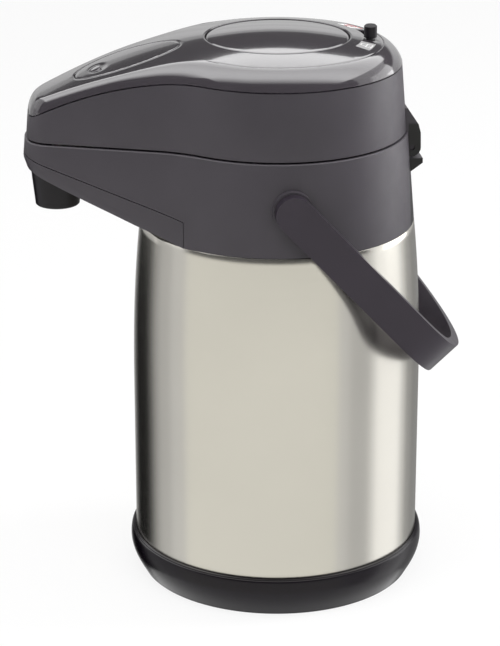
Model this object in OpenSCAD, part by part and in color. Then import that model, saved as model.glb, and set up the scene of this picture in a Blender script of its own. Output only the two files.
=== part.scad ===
// Pump vacuum flask: a steel vacuum vessel under a plastic head with a pump lid, a beak spout
// and a swinging handle.
// Millimetres. The origin is the centre of the foot on the table, +Z is up and the spout points along -Y.

/* [Body] */
// Outer diameter of the steel casing
casing_d = 155; // [152:0.5:160]
// Height where the casing starts to draw in towards the collar
casing_straight_z = 110; // [90:1:130]
// How suddenly the casing draws in
casing_curve = 2.2; // [1.6:0.1:3]
// Height of the ledge that the collar stands on
ledge_z = 199.5; // [190:0.5:215]
// Height from the ledge to the flat shoulder
shoulder_h = 18.5; // [17:0.5:20]
// Height of the bare neck above the shoulder
neck_h = 13; // [12.5:0.5:14]
// Inside diameter of the mouth
mouth_d = 80; // [79:0.5:84]
// Thickness of the steel sheet
sheet_t = 0.8; // [0.6:0.1:1]
// Vacuum gap between the casing shoulder and the inner vessel
vacuum_gap = 3; // [2:0.2:5]
// Height of the inner vessel's floor above the casing's lower rim
vessel_lift = 6; // [4:0.5:12]

/* [Base] */
// How far the base ring stands out beyond the casing
base_out = 2.7; // [2:0.1:4]
// How far the foot stands in from the base ring's widest line
foot_inset = 5.9; // [4:0.1:8]
// Width of the foot ring
foot_w = 3; // [2:0.2:5]
// Height of the base ring
base_h = 22.6; // [21.6:0.2:25]
// Height where the base ring is widest
base_wide_z = 16.5; // [14:0.5:17.5]
// Height of the flange that the casing stands on
base_flange_z = 10; // [9:0.5:12]
// Thickness of that flange
base_flange_t = 3; // [2:0.2:3.6]
// Thickness of the plate that closes the base
base_plate_t = 2.4; // [1.6:0.2:3]
// Number of base screws
base_screws_n = 4; // [3:1:6]

/* [Head] */
// Diameter of the round head at the lid's lower rim
head_d = 136.2; // [135:0.2:138]
// Distance from the axis to the tip of the beak
beak_reach = 131.9; // [129:0.1:138]
// Distance from the axis to the line of the beak's side
beak_side = 58.5; // [57.5:0.1:60]
// Angle at which the beak's sides draw together
beak_taper = 19.4; // [17:0.1:20.4]
// Radius of the hollow blend between the round head and the beak
beak_blend_r = 70; // [50:1:90]
// Corner radius of the beak's tip
beak_corner_r = 14; // [13.5:0.5:16]
// Radius of the beak's bowed front
beak_front_r = 68; // [60:1:80]
// Wall thickness of the head's shells
wall_t = 2.5; // [2:0.1:3]
// Height of the collar
collar_h = 48.3; // [46:0.2:52]
// Radius of the collar's upper edge
rim_r = 0.8; // [0.4:0.1:1.2]
// How far the collar's rim stands proud of the lid
collar_proud = 0.9; // [0.4:0.1:1.5]
// Outward slope of the collar's wall
collar_draft = 0.085; // [0.07:0.005:0.1]
// Thickness of the collar's deck
deck_t = 2.5; // [2:0.1:3]

/* [Beak] */
// Distance from the axis to the back edge of the under-cover
beak_root = 54.6; // [53:0.2:57]
// Height of the parting groove above the collar's lower edge at the beak's root
groove_rise = 13.5; // [12:0.5:15]
// Upward slope of the parting groove towards the tip
groove_slope = 0.348; // [0.33:0.002:0.36]
// Upward slope of the beak's underside towards the tip
low_slope = 0.322; // [0.3:0.002:0.33]
// Growth of that slope towards the tip
low_curve = 0.0012; // [0.001:0.0001:0.0014]
// Radius of the under-cover's lower edge
low_edge_r = 6; // [4:0.5:6]
// Wall thickness of the under-cover
under_t = 2.2; // [1.8:0.1:2.6]

/* [Lid] */
// Open line between the collar and the lid
lid_gap = 1; // [0.8:0.1:1.4]
// Height of the lid's side wall
lid_side_h = 35.2; // [33:0.2:38]
// Radius of the lid wall's upper edge
crest_r = 0.5; // [0.3:0.1:0.8]
// Inward slope of the lid's wall
lid_draft = 0.08; // [0.06:0.005:0.1]
// Height from the top cover's seam to the button's edge
dome_h = 13.5; // [12.5:0.5:16]
// Fall of the dome beside the button
dome_slope = 0.148; // [0.13:0.002:0.16]
// Growth of that fall towards the tip
dome_curve = 0.00237; // [0.0022:0.00002:0.0024]
// Rise of the crown along the beak, growing with the square of the distance
crown_rise = 0.00078; // [0.0006:0.00002:0.0009]
// Share of the dome's sideways fall that is left on the beak
beak_flat = 0.8; // [0.75:0.01:1]
// Width of the rolled edge of the top cover on the round head
roll_w = 9.5; // [8:0.1:9.8]
// Width of that roll at the beak's tip
roll_tip_w = 4.6; // [4:0.1:6]
// Distance from the axis where the seam starts to fall
seam_start = 46.6; // [44:0.2:50]
// How fast the seam falls towards the tip
seam_fall = 0.0032; // [0.0031:0.00002:0.0036]
// Thickness of the top cover
cover_t = 2.4; // [2:0.1:2.6]
// Thickness of the lid's base plate
lid_base_t = 2.5; // [2:0.1:3]
// Largest opening angle of the lid
lid_open = 95; // [85:1:96]

/* [Pump] */
// Diameter of the push button
button_d = 75; // [73:0.2:76]
// Travel of the push button
button_travel = 20; // [16:0.5:22]
// Rise of the button's crown above its edge
button_crown = 3; // [2:0.2:4]
// Height of the button's skirt
button_skirt_h = 13; // [11:0.5:14]
// Outer diameter of the bellows
bellows_d = 64; // [58:0.5:66]
// Depth of a bellows fold
bellows_fold = 6; // [4:0.5:8]
// Number of bellows folds
bellows_n = 5; // [4:1:7]
// Wall thickness of the bellows
bellows_t = 1.2; // [1:0.1:1.6]
// Mean diameter of the return spring
spring_d = 22; // [20:0.5:26]
// Wire thickness of the return spring
spring_wire = 1.6; // [1.2:0.1:2]
// Number of turns of the return spring
spring_turns = 8; // [6:1:10]

/* [Lock] */
// Radius of the slider's arc about the button
lock_r = 48.4; // [47.5:0.1:49]
// Angle of the slider from the rear at rest
lock_rest = 7; // [4:0.5:10]
// Angle that the slider turns through
lock_angle = 22; // [16:1:26]
// Diameter of the slider knob
knob_d = 6.8; // [6:0.2:8]
// Height of the slider knob
knob_h = 6.6; // [5:0.2:8]
// Diameter of the lug in the slot
lug_d = 3.8; // [3:0.2:4.2]

/* [Release] */
// Distance from the axis to the pad's front end
pad_front = 105.7; // [104:0.1:107]
// Distance from the axis to the pad's back end
pad_back = 51.4; // [50:0.1:52.5]
// Largest width of the pad
pad_w = 35; // [33:0.5:37]
// Thickness of the pad
pad_t = 2.2; // [1.8:0.1:2.6]
// Distance from the axis to the pad's pivot
pad_pivot = 62; // [60:0.5:64]
// Angle that the pad tips through
pad_tip = 4.5; // [3:0.5:5]
// Distance from the axis to the raised dot
dot_at = 95.7; // [94:0.1:97]
// Diameter of the raised dot
dot_d = 6.2; // [5:0.2:7]
// Rise of the raised dot
dot_rise = 1.9; // [1.4:0.1:2.2]

/* [Hinge] */
// Diameter of the hinge pin
hinge_pin_d = 3; // [2.4:0.2:3.4]
// Distance of the hinge pin behind the head's round wall
hinge_back = 1.5; // [1:0.1:2]
// Depth of the hinge pin below the collar's rim
hinge_drop = 9; // [8.8:0.1:10]
// Radius of the hinge block about the pin
hinge_r = 4.8; // [4.5:0.1:5]
// Height of the hinge block above the pin
hinge_h = 21.5; // [20:0.5:23]
// Width of the hinge block
hinge_w = 30; // [26:0.5:34]
// Width of the collar's knuckle in the hinge block
knuckle_w = 17.2; // [14:0.2:19]

/* [Handle] */
// Distance of the handle's pivot behind the axis
pivot_y = -1.3; // [-5:0.1:5]
// Height of the handle's pivot above the collar's lower edge
pivot_rise = 24.7; // [23.6:0.1:26]
// Width of the handle strap
strap_w = 19; // [17:0.5:20]
// Thickness of the handle strap
strap_t = 5.8; // [4.5:0.1:6.5]
// Distance from the pivot to the outer face of the crossbar
handle_reach = 133; // [132:0.2:138]
// Outer radius of the bowed crossbar
handle_bow_r = 140; // [125:1:170]
// Outer radius of the handle's bends
handle_bend_r = 28; // [24:1:40]
// Angle of the handle below the horizontal at rest
handle_rest = 46.9; // [40:0.1:47.2]
// Diameter of the pivot pins
pivot_pin_d = 8; // [7:0.2:9]
// Diameter of the bosses on the collar
boss_d = 21; // [20:0.5:23]

/* [Spout] */
// Distance from the axis to the nozzle
nozzle_at = 116.5; // [115.5:0.1:117.5]
// Diameter of the nozzle's mouth
nozzle_d = 23.2; // [21:0.2:24]
// Diameter of the nozzle's top
nozzle_top_d = 27; // [26:0.2:27.6]
// Depth of the nozzle's mouth below the collar's rim
nozzle_drop = 37.2; // [35:0.2:38.4]
// Outer diameter of the dip tube and the spout pipe
pipe_d = 8; // [7:0.2:8.4]
// Bore of the dip tube and the spout pipe
pipe_bore = 5.6; // [4.4:0.2:6]
// Bend radius of the spout pipe
pipe_bend_r = 7.5; // [6:0.25:8]
// Distance of the dip tube inside the mouth's wall
tube_inset = 7; // [7:0.1:7.5]
// Width of the insert's land under the plug seal, inside the seal
fill_land = 2.5; // [1:0.1:4]

/* [Clearances] */
// Gap between pieces that seat on each other
seat = 0.2; // [0.15:0.05:0.3]
// Radial gap of a running pin
run = 0.05; // [0.02:0.01:0.08]
// Open gap round a moving cover piece
shut = 0.5; // [0.4:0.05:0.7]
// Visible groove between fixed covers
groove = 0.4; // [0.3:0.05:0.6]

/* [Hidden] */
$fn = 96;
far = 400;
eps = 0.5;

// Heights of the body
casing_r = casing_d / 2;
casing_z0 = base_flange_z + seat;
vessel_z0 = casing_z0 + vessel_lift;
shoulder_z = ledge_z + shoulder_h;
mouth_z = shoulder_z + neck_h;
collar_z0 = ledge_z + seat;
collar_z1 = collar_z0 + collar_h;
lid_z0 = collar_z1 + lid_gap;
seam_z0 = lid_z0 + lid_side_h;
button_z = seam_z0 + dome_h;

// Radii of the body
head_r = head_d / 2;
collar_low_r = head_r + collar_proud + collar_draft * collar_h;
collar_clear = 1;
inset_r = collar_low_r - wall_t - collar_clear;
mouth_r = mouth_d / 2;
neck_gap = 1.4;
neck_r = mouth_r + neck_gap + 2 * sheet_t;
flat_r = neck_r + 6;
vessel_r = inset_r - sheet_t - vacuum_gap;

// Mouth stack, from the rim upwards
gasket_t = 1.5;
insert_t = 2.6;
rim_z = mouth_z + sheet_t;
insert_z0 = rim_z + gasket_t + seat;
insert_z1 = insert_z0 + insert_t;
insert_skirt_h = 8;
socket_h = 10;
socket_r = pipe_d / 2 + 2;
stop_t = 0.8;
pipe_r = pipe_d / 2;
tube_at = mouth_r - tube_inset;
bore_r = pipe_bore / 2;
pipe_z0 = insert_z1 - socket_h / 2;
tube_z1 = pipe_z0 - stop_t;
tube_z0 = vessel_z0 + sheet_t + 6;
pipe_z = collar_z1 - pipe_r;
plug_clear = 3.5;
plug_r = tube_at - pipe_r - plug_clear;
plug_t = 3;
fill_r = plug_r - plug_t - 1 - fill_land;
plug_seal_t = 2;
plug_z0 = insert_z1 + seat + plug_seal_t;
lid_base_z0 = lid_z0 + 0.1;
lid_base_z1 = lid_base_z0 + lid_base_t;

// Deck and neck nut
deck_z0 = shoulder_z + seat;
deck_z1 = deck_z0 + deck_t;
nut_h = 6;
nut_t = 6;

// Top of the lid
hole_r = button_d / 2 + shut;
guide_t = 1.5;
guide_z0 = button_z - button_skirt_h;
ring_in = hole_r + guide_t + 0.35;
ring_out = lock_r + 4.6;
ring_t = 2.4;
ring_z1 = button_z - dome_slope * (ring_out - hole_r) - dome_curve * pow(ring_out - hole_r, 2) - cover_t - 1;
ring_z0 = ring_z1 - ring_t;
knob_z0 = button_z - dome_slope * (lock_r - hole_r) + 0.9;
lug_in = knob_h * 0.45;
plunger_drop = 6.6;
plunger_z1 = button_z - plunger_drop;
plunger_t = 2.4;
plunger_z0 = plunger_z1 - plunger_t;
post_h = 6.5;
post_r = spring_d / 2 - spring_wire / 2 - 0.8;
stub_h = 6;
valve_t = 1.2;
outlet_lift = 2;
air_r = 3;
outlet_boss_r = 2 * air_r;
outlet_flap_r = outlet_boss_r - 0.5;
outlet_stem_r = 1.2;
outlet_stem_h = 7;
button_wall = 2.4;
screw_r = 1.5;
screw_head_r = 2.8;
screw_head_t = 1.6;

crown_start = 50;

// Release pad
pad_hw = pad_w / 2;
pad_len = pad_front - pad_back;
pad_skew = -0.1;
pad_fullness = 0.42;
pad_pin_r = 1.2;
pad_pin_z = button_z - 13.7;
ear_x = pad_hw + 1;
ear_w = 3.2;
hook_at = 88;
hook_x = 8.6;
hook_w = 5;
hook_t = 4;
hook_z0 = collar_z1 - 5;
keeper_t = 3.4;
keeper_gap = 0.6;
keeper_y = -hook_at - hook_t / 2 - keeper_gap;

// Hinge and handle
pin_r = hinge_pin_d / 2;
pin_y = head_r + hinge_back;
pin_z = collar_z1 - hinge_drop;
knuckle_r = pin_r + 1.7;
hinge_clear = 0.4;
block_z1 = pin_z + hinge_h;
block_front = pin_y - 3.4;
pivot_z = collar_z0 + pivot_rise;
arm_x0 = collar_low_r + 1;
arm_x1 = arm_x0 + strap_t;
boss_x1 = arm_x0 - shut;
pivot_r = pivot_pin_d / 2;
boss_in = 7;
pin_cover = 1.5;

grey = "#4a464a";
gloss = "#5a565b";
black = "#1c1b1d";
steel = "#c8c6c0";
rubber = "#d8d4cc";

// Plan outline of the head. Each point is a centre, a radius, the sign of its growth and a direction,
// so the same outline can be grown or shrunk by any distance.
normal = [cos(beak_taper), -sin(beak_taper)];
along = [-sin(beak_taper), -cos(beak_taper)];
blend_q = sqrt(pow(head_r + beak_blend_r, 2) - pow(beak_side + beak_blend_r, 2));
blend_c = (beak_side + beak_blend_r) * normal + blend_q * along;
blend_a = atan2(blend_c[1], blend_c[0]);
front_c = [0, beak_front_r - beak_reach];
corner_in = beak_side - beak_corner_r - front_c * normal;
corner_q = front_c * along + sqrt(pow(beak_front_r - beak_corner_r, 2) - pow(corner_in, 2));
corner_c = (beak_side - beak_corner_r) * normal + corner_q * along;
corner_a = atan2(corner_c[1] - front_c[1], corner_c[0] - front_c[0]);
side_p0 = blend_c - beak_blend_r * normal;
side_p1 = corner_c + beak_corner_r * normal;

function arc(c, r, s, a0, a1, n) = [for (i = [0:n - 1]) [c[0], c[1], r, s, a0 + (a1 - a0) * i / n]];
function line(p, q, n) = [for (i = [0:n - 1]) let (m = p + (q - p) * i / n) [m[0], m[1], 0, 1, -beak_taper]];
half = concat(
    arc([0, 0], head_r, 1, 90, blend_a, 18),
    arc(blend_c, beak_blend_r, -1, blend_a + 180, 180 - beak_taper, 5),
    line(side_p0, side_p1, 5),
    arc(corner_c, beak_corner_r, 1, -beak_taper, corner_a, 5),
    arc(front_c, beak_front_r, 1, corner_a, -90, 3),
    [[front_c[0], front_c[1], beak_front_r, 1, -90]]);
function flip(h) = [-h[0], h[1], h[2], h[3], 180 - h[4]];
half_n = len(half) - 1;
HEAD = concat([for (h = half) flip(h)], [for (i = [half_n - 1:-1:1]) half[i]]);

function grow(h, g) = [h[0] + (h[2] + h[3] * g) * cos(h[4]), h[1] + (h[2] + h[3] * g) * sin(h[4])];
function at_z(p, z) = [p[0], p[1], z];
function lerp(a, b, t) = a + (b - a) * t;

// Surfaces of the head
function collar_g(z) = collar_proud + collar_draft * (collar_z1 - z);
function lid_g(z) = -lid_draft * (z - lid_z0);
function seam_z(y) = seam_z0 - seam_fall * pow(max(0, -y - seam_start), 2);
function flat_at(y) = let (t = max(0, min(1, (-y - 20) / 40))) lerp(1, beak_flat, t * t * (3 - 2 * t));
function dome_z(p) = let (s = norm([flat_at(p[1]) * p[0], p[1]]) - hole_r)
    button_z - dome_slope * s - dome_curve * s * s + crown_rise * pow(max(0, -p[1] - crown_start), 2);
function roll_at(y) = let (t = max(0, min(1, (-y - seam_start) / 45)))
    lerp(roll_w, roll_tip_w, t * t * (3 - 2 * t));
function groove_z(y) = collar_z0 + groove_rise + groove_slope * (-y - beak_root);
function low_z(y) = collar_z0 + low_slope * (-y - beak_root) + low_curve * pow(max(0, -y - beak_root), 2);
function casing_at(z) = let (t = max(0, z - casing_straight_z) / (ledge_z - casing_straight_z))
    casing_r - (casing_r - collar_low_r) * pow(t, casing_curve);

// A solid through a stack of rings with equally many points: capped at both ends, or closed on itself
module loft(rings, loop = false) {
    n = len(rings[0]);
    k = len(rings);
    top = (k - 1) * n;
    sides = [for (i = [0:loop ? k - 1 : k - 2], j = [0:n - 1])
        let (next = (j + 1) % n, up = ((i + 1) % k) * n, a = i * n + j, b = i * n + next)
        each [[a, up + j, up + next], [a, up + next, b]]];
    caps = loop ? [] : [for (j = [1:n - 2]) each [[0, j, j + 1], [top, top + j + 1, top + j]]];
    polyhedron(points = [for (r = rings) each r], faces = concat(sides, caps), convexity = 8);
}

// One unbroken coil of round wire, with its least gap to itself echoed
module coil(r, wire, z0, z1, turns) {
    per = 8;
    w = wire / 2;
    pitch = (z1 - z0 - wire) / turns;
    rings = [for (i = [0:turns * per]) let (a = 360 * i / per)
        [for (j = [0:5]) let (b = -60 * j)
            [(r + w * cos(b)) * cos(a), (r + w * cos(b)) * sin(a), z0 + w + pitch * i / per + w * sin(b)]]];
    mid = [for (i = [0:turns * per]) let (a = 360 * i / per) [r * cos(a), r * sin(a), pitch * i / per]];
    last = len(mid) - 1;
    echo(least_coil_gap = min([for (i = [0:last - per], j = [i + per - 1:min(i + per + 1, last)])
        norm(mid[j] - mid[i]) - wire]));
    loft(rings);
}

// A side profile drawn as (y, z), given a width along X
module side(w) {
    rotate([90, 0, 90]) linear_extrude(height = w, center = true) children();
}

// A round bar along X
module x_bar(y, z, r, x0, x1) {
    translate([x0, y, z]) rotate([0, 90, 0]) cylinder(r = r, h = x1 - x0);
}

// A bar on the handle's pivot line, on the right side or mirrored to the left
module side_bar(s, r, x0, x1) {
    x_bar(pivot_y, pivot_z, r, s < 0 ? -x1 : x0, s < 0 ? -x0 : x1);
}

module tube(r0, r1, z0, z1) {
    translate([0, 0, z0]) difference() {
        cylinder(r = r1, h = z1 - z0);
        translate([0, 0, -eps]) cylinder(r = r0, h = z1 - z0 + 2 * eps);
    }
}

module screw(z0, head_z, z1) {
    translate([0, 0, z0]) cylinder(r = screw_r, h = z1 - z0);
    translate([0, 0, head_z]) cylinder(r = screw_head_r, h = screw_head_t);
}

// Base

base_in = casing_r + seat;
base_r = base_in + base_out;
foot_r = base_r - foot_inset;
base_lip = base_out - 1.7;
base_screw_at = foot_r - foot_w - 7;

module base_ring() {
    color(black) difference() {
        rotate_extrude() polygon([
            [foot_r - foot_w, 0], [foot_r - 0.8, 0], [foot_r, 0.8],
            for (t = [1:5]) [lerp(foot_r, base_r, sin(90 * t / 5)), lerp(0.8, base_wide_z, t / 5)],
            for (t = [1:3]) [lerp(base_in + base_lip, base_r, cos(90 * t / 5)),
                lerp(base_wide_z, base_h, sin(90 * t / 5))],
            [base_in + base_lip + 0.5, base_h - 0.7], [base_in + base_lip, base_h], [base_in, base_h],
            [base_in, base_flange_z],
            [base_screw_at - 5, base_flange_z], [base_screw_at - 5, base_flange_z - base_flange_t],
            [foot_r - foot_w, base_flange_z - base_flange_t]]);
        for (i = [0:base_screws_n - 1]) rotate(45 + 360 * i / base_screws_n) translate([base_screw_at, 0, 0])
            cylinder(r = screw_r + run, h = far);
    }
}

base_plate_z1 = base_flange_z - base_flange_t - seat;
base_plate_z0 = base_plate_z1 - base_plate_t;

module base_plate() {
    color(black) difference() {
        translate([0, 0, base_plate_z0]) cylinder(r = foot_r - foot_w - shut, h = base_plate_t);
        for (i = [0:base_screws_n - 1]) rotate(45 + 360 * i / base_screws_n) translate([base_screw_at, 0, 0])
            cylinder(r = screw_r + run, h = far);
    }
}

module base_screws() {
    color(steel) for (i = [0:base_screws_n - 1])
        rotate(45 + 360 * i / base_screws_n) translate([base_screw_at, 0, 0])
            screw(base_plate_z0 - screw_head_t, base_plate_z0 - screw_head_t, base_flange_z - seat);
}

// Vacuum vessel

function shoulder(r, z, t) = [for (i = [0:6]) let (a = 90 * i / 6)
    [flat_r + (r - flat_r) * cos(a), z + (shoulder_z - t - z) * sin(a)]];
function casing_line(t) = concat(
    [[casing_r - t, casing_z0]],
    [for (i = [0:9]) let (z = lerp(casing_straight_z, ledge_z, i / 9))
        [casing_at(z) - t, z - (i == 9 ? t : 0)]],
    [[inset_r - t, ledge_z - t]],
    shoulder(inset_r - t, ledge_z + 4, t),
    [[neck_r - t, shoulder_z - t], [neck_r - t, mouth_z]]);

module outer_casing() {
    inner = casing_line(sheet_t);
    color(steel) rotate_extrude()
        polygon(concat(casing_line(0), [for (i = [len(inner) - 1:-1:0]) inner[i]]));
}

module casing_bottom() {
    color(steel) translate([0, 0, casing_z0 + 2])
        cylinder(r = casing_r - sheet_t - seat / 2, h = sheet_t);
}

vessel_corner = 14;
vessel_top_z = shoulder_z - sheet_t - vacuum_gap;

vessel_weld_z = ledge_z - 6;

function vessel_line(t) = concat(
    [[0, vessel_z0 + t]],
    [for (i = [0:6]) let (a = -90 + 90 * i / 6)
        [vessel_r - vessel_corner + (vessel_corner - t) * cos(a),
            vessel_z0 + vessel_corner + (vessel_corner - t) * sin(a)]],
    [[vessel_r - t, vessel_weld_z - seat / 4]]);

function shoulder_line(t) = concat(
    [for (i = [0:6]) let (a = 90 * i / 6, r1 = mouth_r + 8)
        [r1 + (vessel_r - t - r1) * cos(a), vessel_weld_z + (vessel_top_z - t - vessel_weld_z) * sin(a)]],
    [[mouth_r + sheet_t - t, vessel_top_z - t]]);

module inner_vessel() {
    inner = vessel_line(sheet_t);
    color(steel) rotate_extrude() polygon(concat(
        vessel_line(0),
        [for (i = [len(inner) - 1:-1:0]) inner[i]]));
}

module vessel_neck() {
    inner = shoulder_line(sheet_t);
    color(steel) rotate_extrude() polygon(concat(
        shoulder_line(0),
        [[mouth_r + sheet_t, mouth_z + seat / 4], [neck_r, mouth_z + seat / 4]],
        [[neck_r, rim_z], [mouth_r, rim_z]],
        [for (i = [len(inner) - 1:-1:0]) inner[i]]));
}

// Collar and beak

module neck_nut() {
    z0 = deck_z1 + seat;
    notch_n = 8;
    notch_r = 1.6;
    color(black) difference() {
        tube(neck_r + seat, neck_r + nut_t, z0, z0 + nut_h);
        for (i = [0:notch_n - 1]) rotate(360 * (i + 0.5) / notch_n)
            translate([neck_r + nut_t, 0, z0 - eps]) cylinder(r = notch_r, h = nut_h + 2 * eps);
    }
}

module collar_wall() {
    function ring(z, t) = [for (h = HEAD) at_z(grow(h, collar_g(z) - t), z)];
    function soft(a) = ring(collar_z1 - rim_r * (1 - sin(a)), rim_r * (1 - cos(a)));
    loft([ring(collar_z0, 0), soft(0), soft(30), soft(60), soft(90),
        ring(collar_z1, wall_t), ring(collar_z0, wall_t)], loop = true);
}

module below_groove(z_shift) {
    side(far) polygon([
        [-beak_root, collar_z0 - 20], [-beak_root, groove_z(-beak_root) + z_shift],
        [-far, groove_z(-far) + z_shift], [-far, collar_z0 - 20]]);
}

module hinge_pocket() {
    w = hinge_w + 2 * hinge_clear;
    x_bar(pin_y, pin_z, hinge_r + hinge_clear, -w / 2, w / 2);
    translate([-w / 2, block_front - hinge_clear, pin_z]) cube([w, 20, hinge_drop + 5]);
}

rib_w = hinge_w + 6;
tab_back = 1.2;
tab_z1 = pin_z - hinge_r - 1.2;
tab_h = 7;

module collar() {
    deck_r = head_r + collar_g(deck_z1) - wall_t / 2;
    color(grey) difference() {
        union() {
            difference() {
                collar_wall();
                below_groove(0);
            }
            tube(neck_r + 2 * seat, deck_r, deck_z0, deck_z1);
            for (s = [-1, 1]) {
                side_bar(s, boss_d / 2, boss_x1 - boss_in, boss_x1);
                translate([s < 0 ? -hook_keeper_x1() : hook_x, keeper_y - keeper_t, hook_z0])
                    cube([hook_keeper_x1() - hook_x, keeper_t, hook_t]);
            }
            translate([-rib_w / 2, head_r - 8, deck_z0]) cube([rib_w, 6, collar_z1 - deck_z0 - 1]);
            side(hinge_w) polygon([
                [head_r - 4, tab_z1], [pin_y + hinge_r + tab_back, tab_z1],
                [pin_y + hinge_r + tab_back, tab_z1 - tab_h * 0.36],
                [pin_y + hinge_r - 5, tab_z1 - tab_h], [head_r - 4, tab_z1 - tab_h]]);
        }
        hinge_pocket();
        x_bar(pivot_y, pivot_z, pivot_r + run, -far, far);
    }
    color(grey) hinge_knuckle();
}

// Reach of the latch keepers, well into the beak's wall
function hook_keeper_x1() = (beak_side - (hook_at + 4) * sin(beak_taper)) / cos(beak_taper)
    + collar_g(hook_z0) - wall_t / 2;

module hinge_knuckle() {
    difference() {
        union() {
            x_bar(pin_y, pin_z, knuckle_r, -knuckle_w / 2, knuckle_w / 2);
            translate([-knuckle_w / 2, head_r - 6, pin_z - knuckle_r])
                cube([knuckle_w, hinge_back + 6, 2 * knuckle_r]);
        }
        x_bar(pin_y, pin_z, pin_r, -far, far);
    }
}

module hinge_pin() {
    half_w = hinge_w / 2 - 0.8;
    color(steel) x_bar(pin_y, pin_z, pin_r, -half_w, half_w);
}

// The outline in front of the beak's root, one neighbour beyond the root line at each end
beak_i = [for (i = [0:len(HEAD) - 1]) if (grow(HEAD[i], 0)[1] < -beak_root - 3) i];
beak_n = len(beak_i);
beak_y = -beak_root - seat;
function at_root(p, q, y) = lerp(p, q, (y - p[1]) / (q[1] - p[1]));
function edge_at(y) = let (tall = groove_z(y) - groove - low_z(y))
    max(1, min(low_edge_r, 1.5 + 0.12 * (beak_y - y), 0.8 * tall));

// One ring of the under-cover. The inset and the lift are shares of the edge radius plus a fixed amount.
function beak_ring(inset_k, inset, lift_k, lift, top = false, back = 0) = let (
    pts = [for (k = [0:beak_n + 1]) let (
        h = HEAD[beak_i[0] - 1 + k],
        y = grow(h, 0)[1],
        e = edge_at(y),
        z = top ? groove_z(y) - groove : low_z(y) + lift_k * e + lift,
        q = grow(h, collar_g(z) - inset_k * e - inset))
        at_z(q, top ? groove_z(q[1]) - groove : z)],
    end_y = beak_y - back / 4,
    start = at_root(pts[0], pts[1], end_y))
    concat([[0, beak_y - back, start[2]]], [start], [for (k = [1:beak_n]) pts[k]],
        [at_root(pts[beak_n + 1], pts[beak_n], end_y)]);

module beak_cover() {
    soft = 1 - cos(45);
    color(grey) difference() {
        loft([
            beak_ring(1, 0, 0, 0),
            beak_ring(soft, 0, soft, 0),
            beak_ring(0, 0, 1, 0),
            beak_ring(0, 0, 0, 0, top = true),
            beak_ring(0, under_t, 0, 0, top = true, back = 4),
            beak_ring(1, under_t / 2, 0, under_t, back = 4)]);
        cylinder(r = inset_r + collar_clear, h = far);
        cylinder(r = collar_low_r + seat, h = collar_z0 + seat);
        translate([0, -nozzle_at, 0]) cylinder(r = nozzle_top_d / 2 + seat, h = far);
    }
}

// Spout

nozzle_z0 = collar_z1 - nozzle_drop;
nozzle_z1 = pipe_z - pipe_bend_r - 4;
nozzle_t = 2;

module nozzle() {
    color(black) translate([0, -nozzle_at, 0]) rotate_extrude() polygon([
        [nozzle_d / 2 - nozzle_t, nozzle_z0], [nozzle_d / 2 - 0.6, nozzle_z0],
        [nozzle_d / 2, nozzle_z0 + 0.6],
        [nozzle_top_d / 2, nozzle_z1 - 3], [nozzle_top_d / 2, nozzle_z1], [pipe_r + run, nozzle_z1],
        [pipe_r + run, nozzle_z1 - nozzle_t], [nozzle_top_d / 2 - nozzle_t, nozzle_z1 - nozzle_t]]);
}

module pipe_route(r, extra) {
    bend_z = pipe_z - pipe_bend_r;
    front = nozzle_at - pipe_bend_r;
    back = tube_at + pipe_bend_r;
    translate([0, -tube_at, pipe_z0 - extra]) cylinder(r = r, h = bend_z - pipe_z0 + extra);
    translate([0, -back, bend_z]) rotate([90, 0, 90]) rotate_extrude(angle = 90)
        translate([pipe_bend_r, 0]) circle(r = r);
    translate([0, -back, pipe_z]) rotate([90, 0, 0]) cylinder(r = r, h = front - back);
    translate([0, -front, bend_z]) rotate([90, 0, 90]) rotate(90) rotate_extrude(angle = 90)
        translate([pipe_bend_r, 0]) circle(r = r);
    translate([0, -nozzle_at, nozzle_z0 + 4 - extra]) cylinder(r = r, h = bend_z - nozzle_z0 - 4 + extra);
}

module spout_pipe() {
    color(rubber) difference() {
        pipe_route(pipe_r, 0);
        pipe_route(bore_r, 1);
    }
}

seal_wire = 1.3;

module pipe_seal() {
    color(black) translate([0, -tube_at, insert_z1 - socket_h / 4]) rotate_extrude()
        translate([pipe_r + run + seal_wire / 2, 0]) circle(d = seal_wire);
}

module mouth_insert() {
    skirt_r = mouth_r - 0.6;
    color(black) difference() {
        union() {
            tube(fill_r, neck_r + 2.5, insert_z0, insert_z1);
            tube(skirt_r - 2.5, skirt_r, insert_z0 - insert_skirt_h, insert_z0 + eps);
            translate([0, -tube_at, insert_z1 - socket_h]) cylinder(r = socket_r, h = socket_h);
        }
        translate([0, -tube_at, 0]) {
            cylinder(r = pipe_r + run, h = tube_z1 + run);
            cylinder(r = bore_r, h = far);
            translate([0, 0, pipe_z0 - run]) cylinder(r = pipe_r + run, h = far);
            tube(0.1, pipe_r + 2 * run + seal_wire, insert_z1 - socket_h / 4 - seal_wire / 2 - run,
                insert_z1 - socket_h / 4 + seal_wire / 2 + run);
        }
    }
}

module mouth_gasket() {
    color(rubber) tube(mouth_r - 0.4, neck_r + 1, rim_z + seat / 2, rim_z + seat / 2 + gasket_t);
}

module dip_tube() {
    color(rubber) translate([0, -tube_at, 0]) tube(bore_r, pipe_r, tube_z0, tube_z1);
}

// Lid

module lid_wall() {
    function rim(t) = [for (h = HEAD) at_z(grow(h, -t), lid_z0)];
    function crest(t, drop) = [for (h = HEAD) let (z = seam_z(grow(h, 0)[1]) - groove)
        at_z(grow(h, lid_g(z) - t), z - drop)];
    function soft(a) = crest(crest_r * (1 - cos(a)), crest_r * (1 - sin(a)));
    loft([rim(0), soft(0), soft(45), soft(90), crest(wall_t, 0), rim(wall_t)], loop = true);
}

lid_screw_at = head_r - wall_t - 3.4;
lid_screw_a = [20, 160, 200, 340];
boss_r = 3.5;
boss_h = 14;

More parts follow.
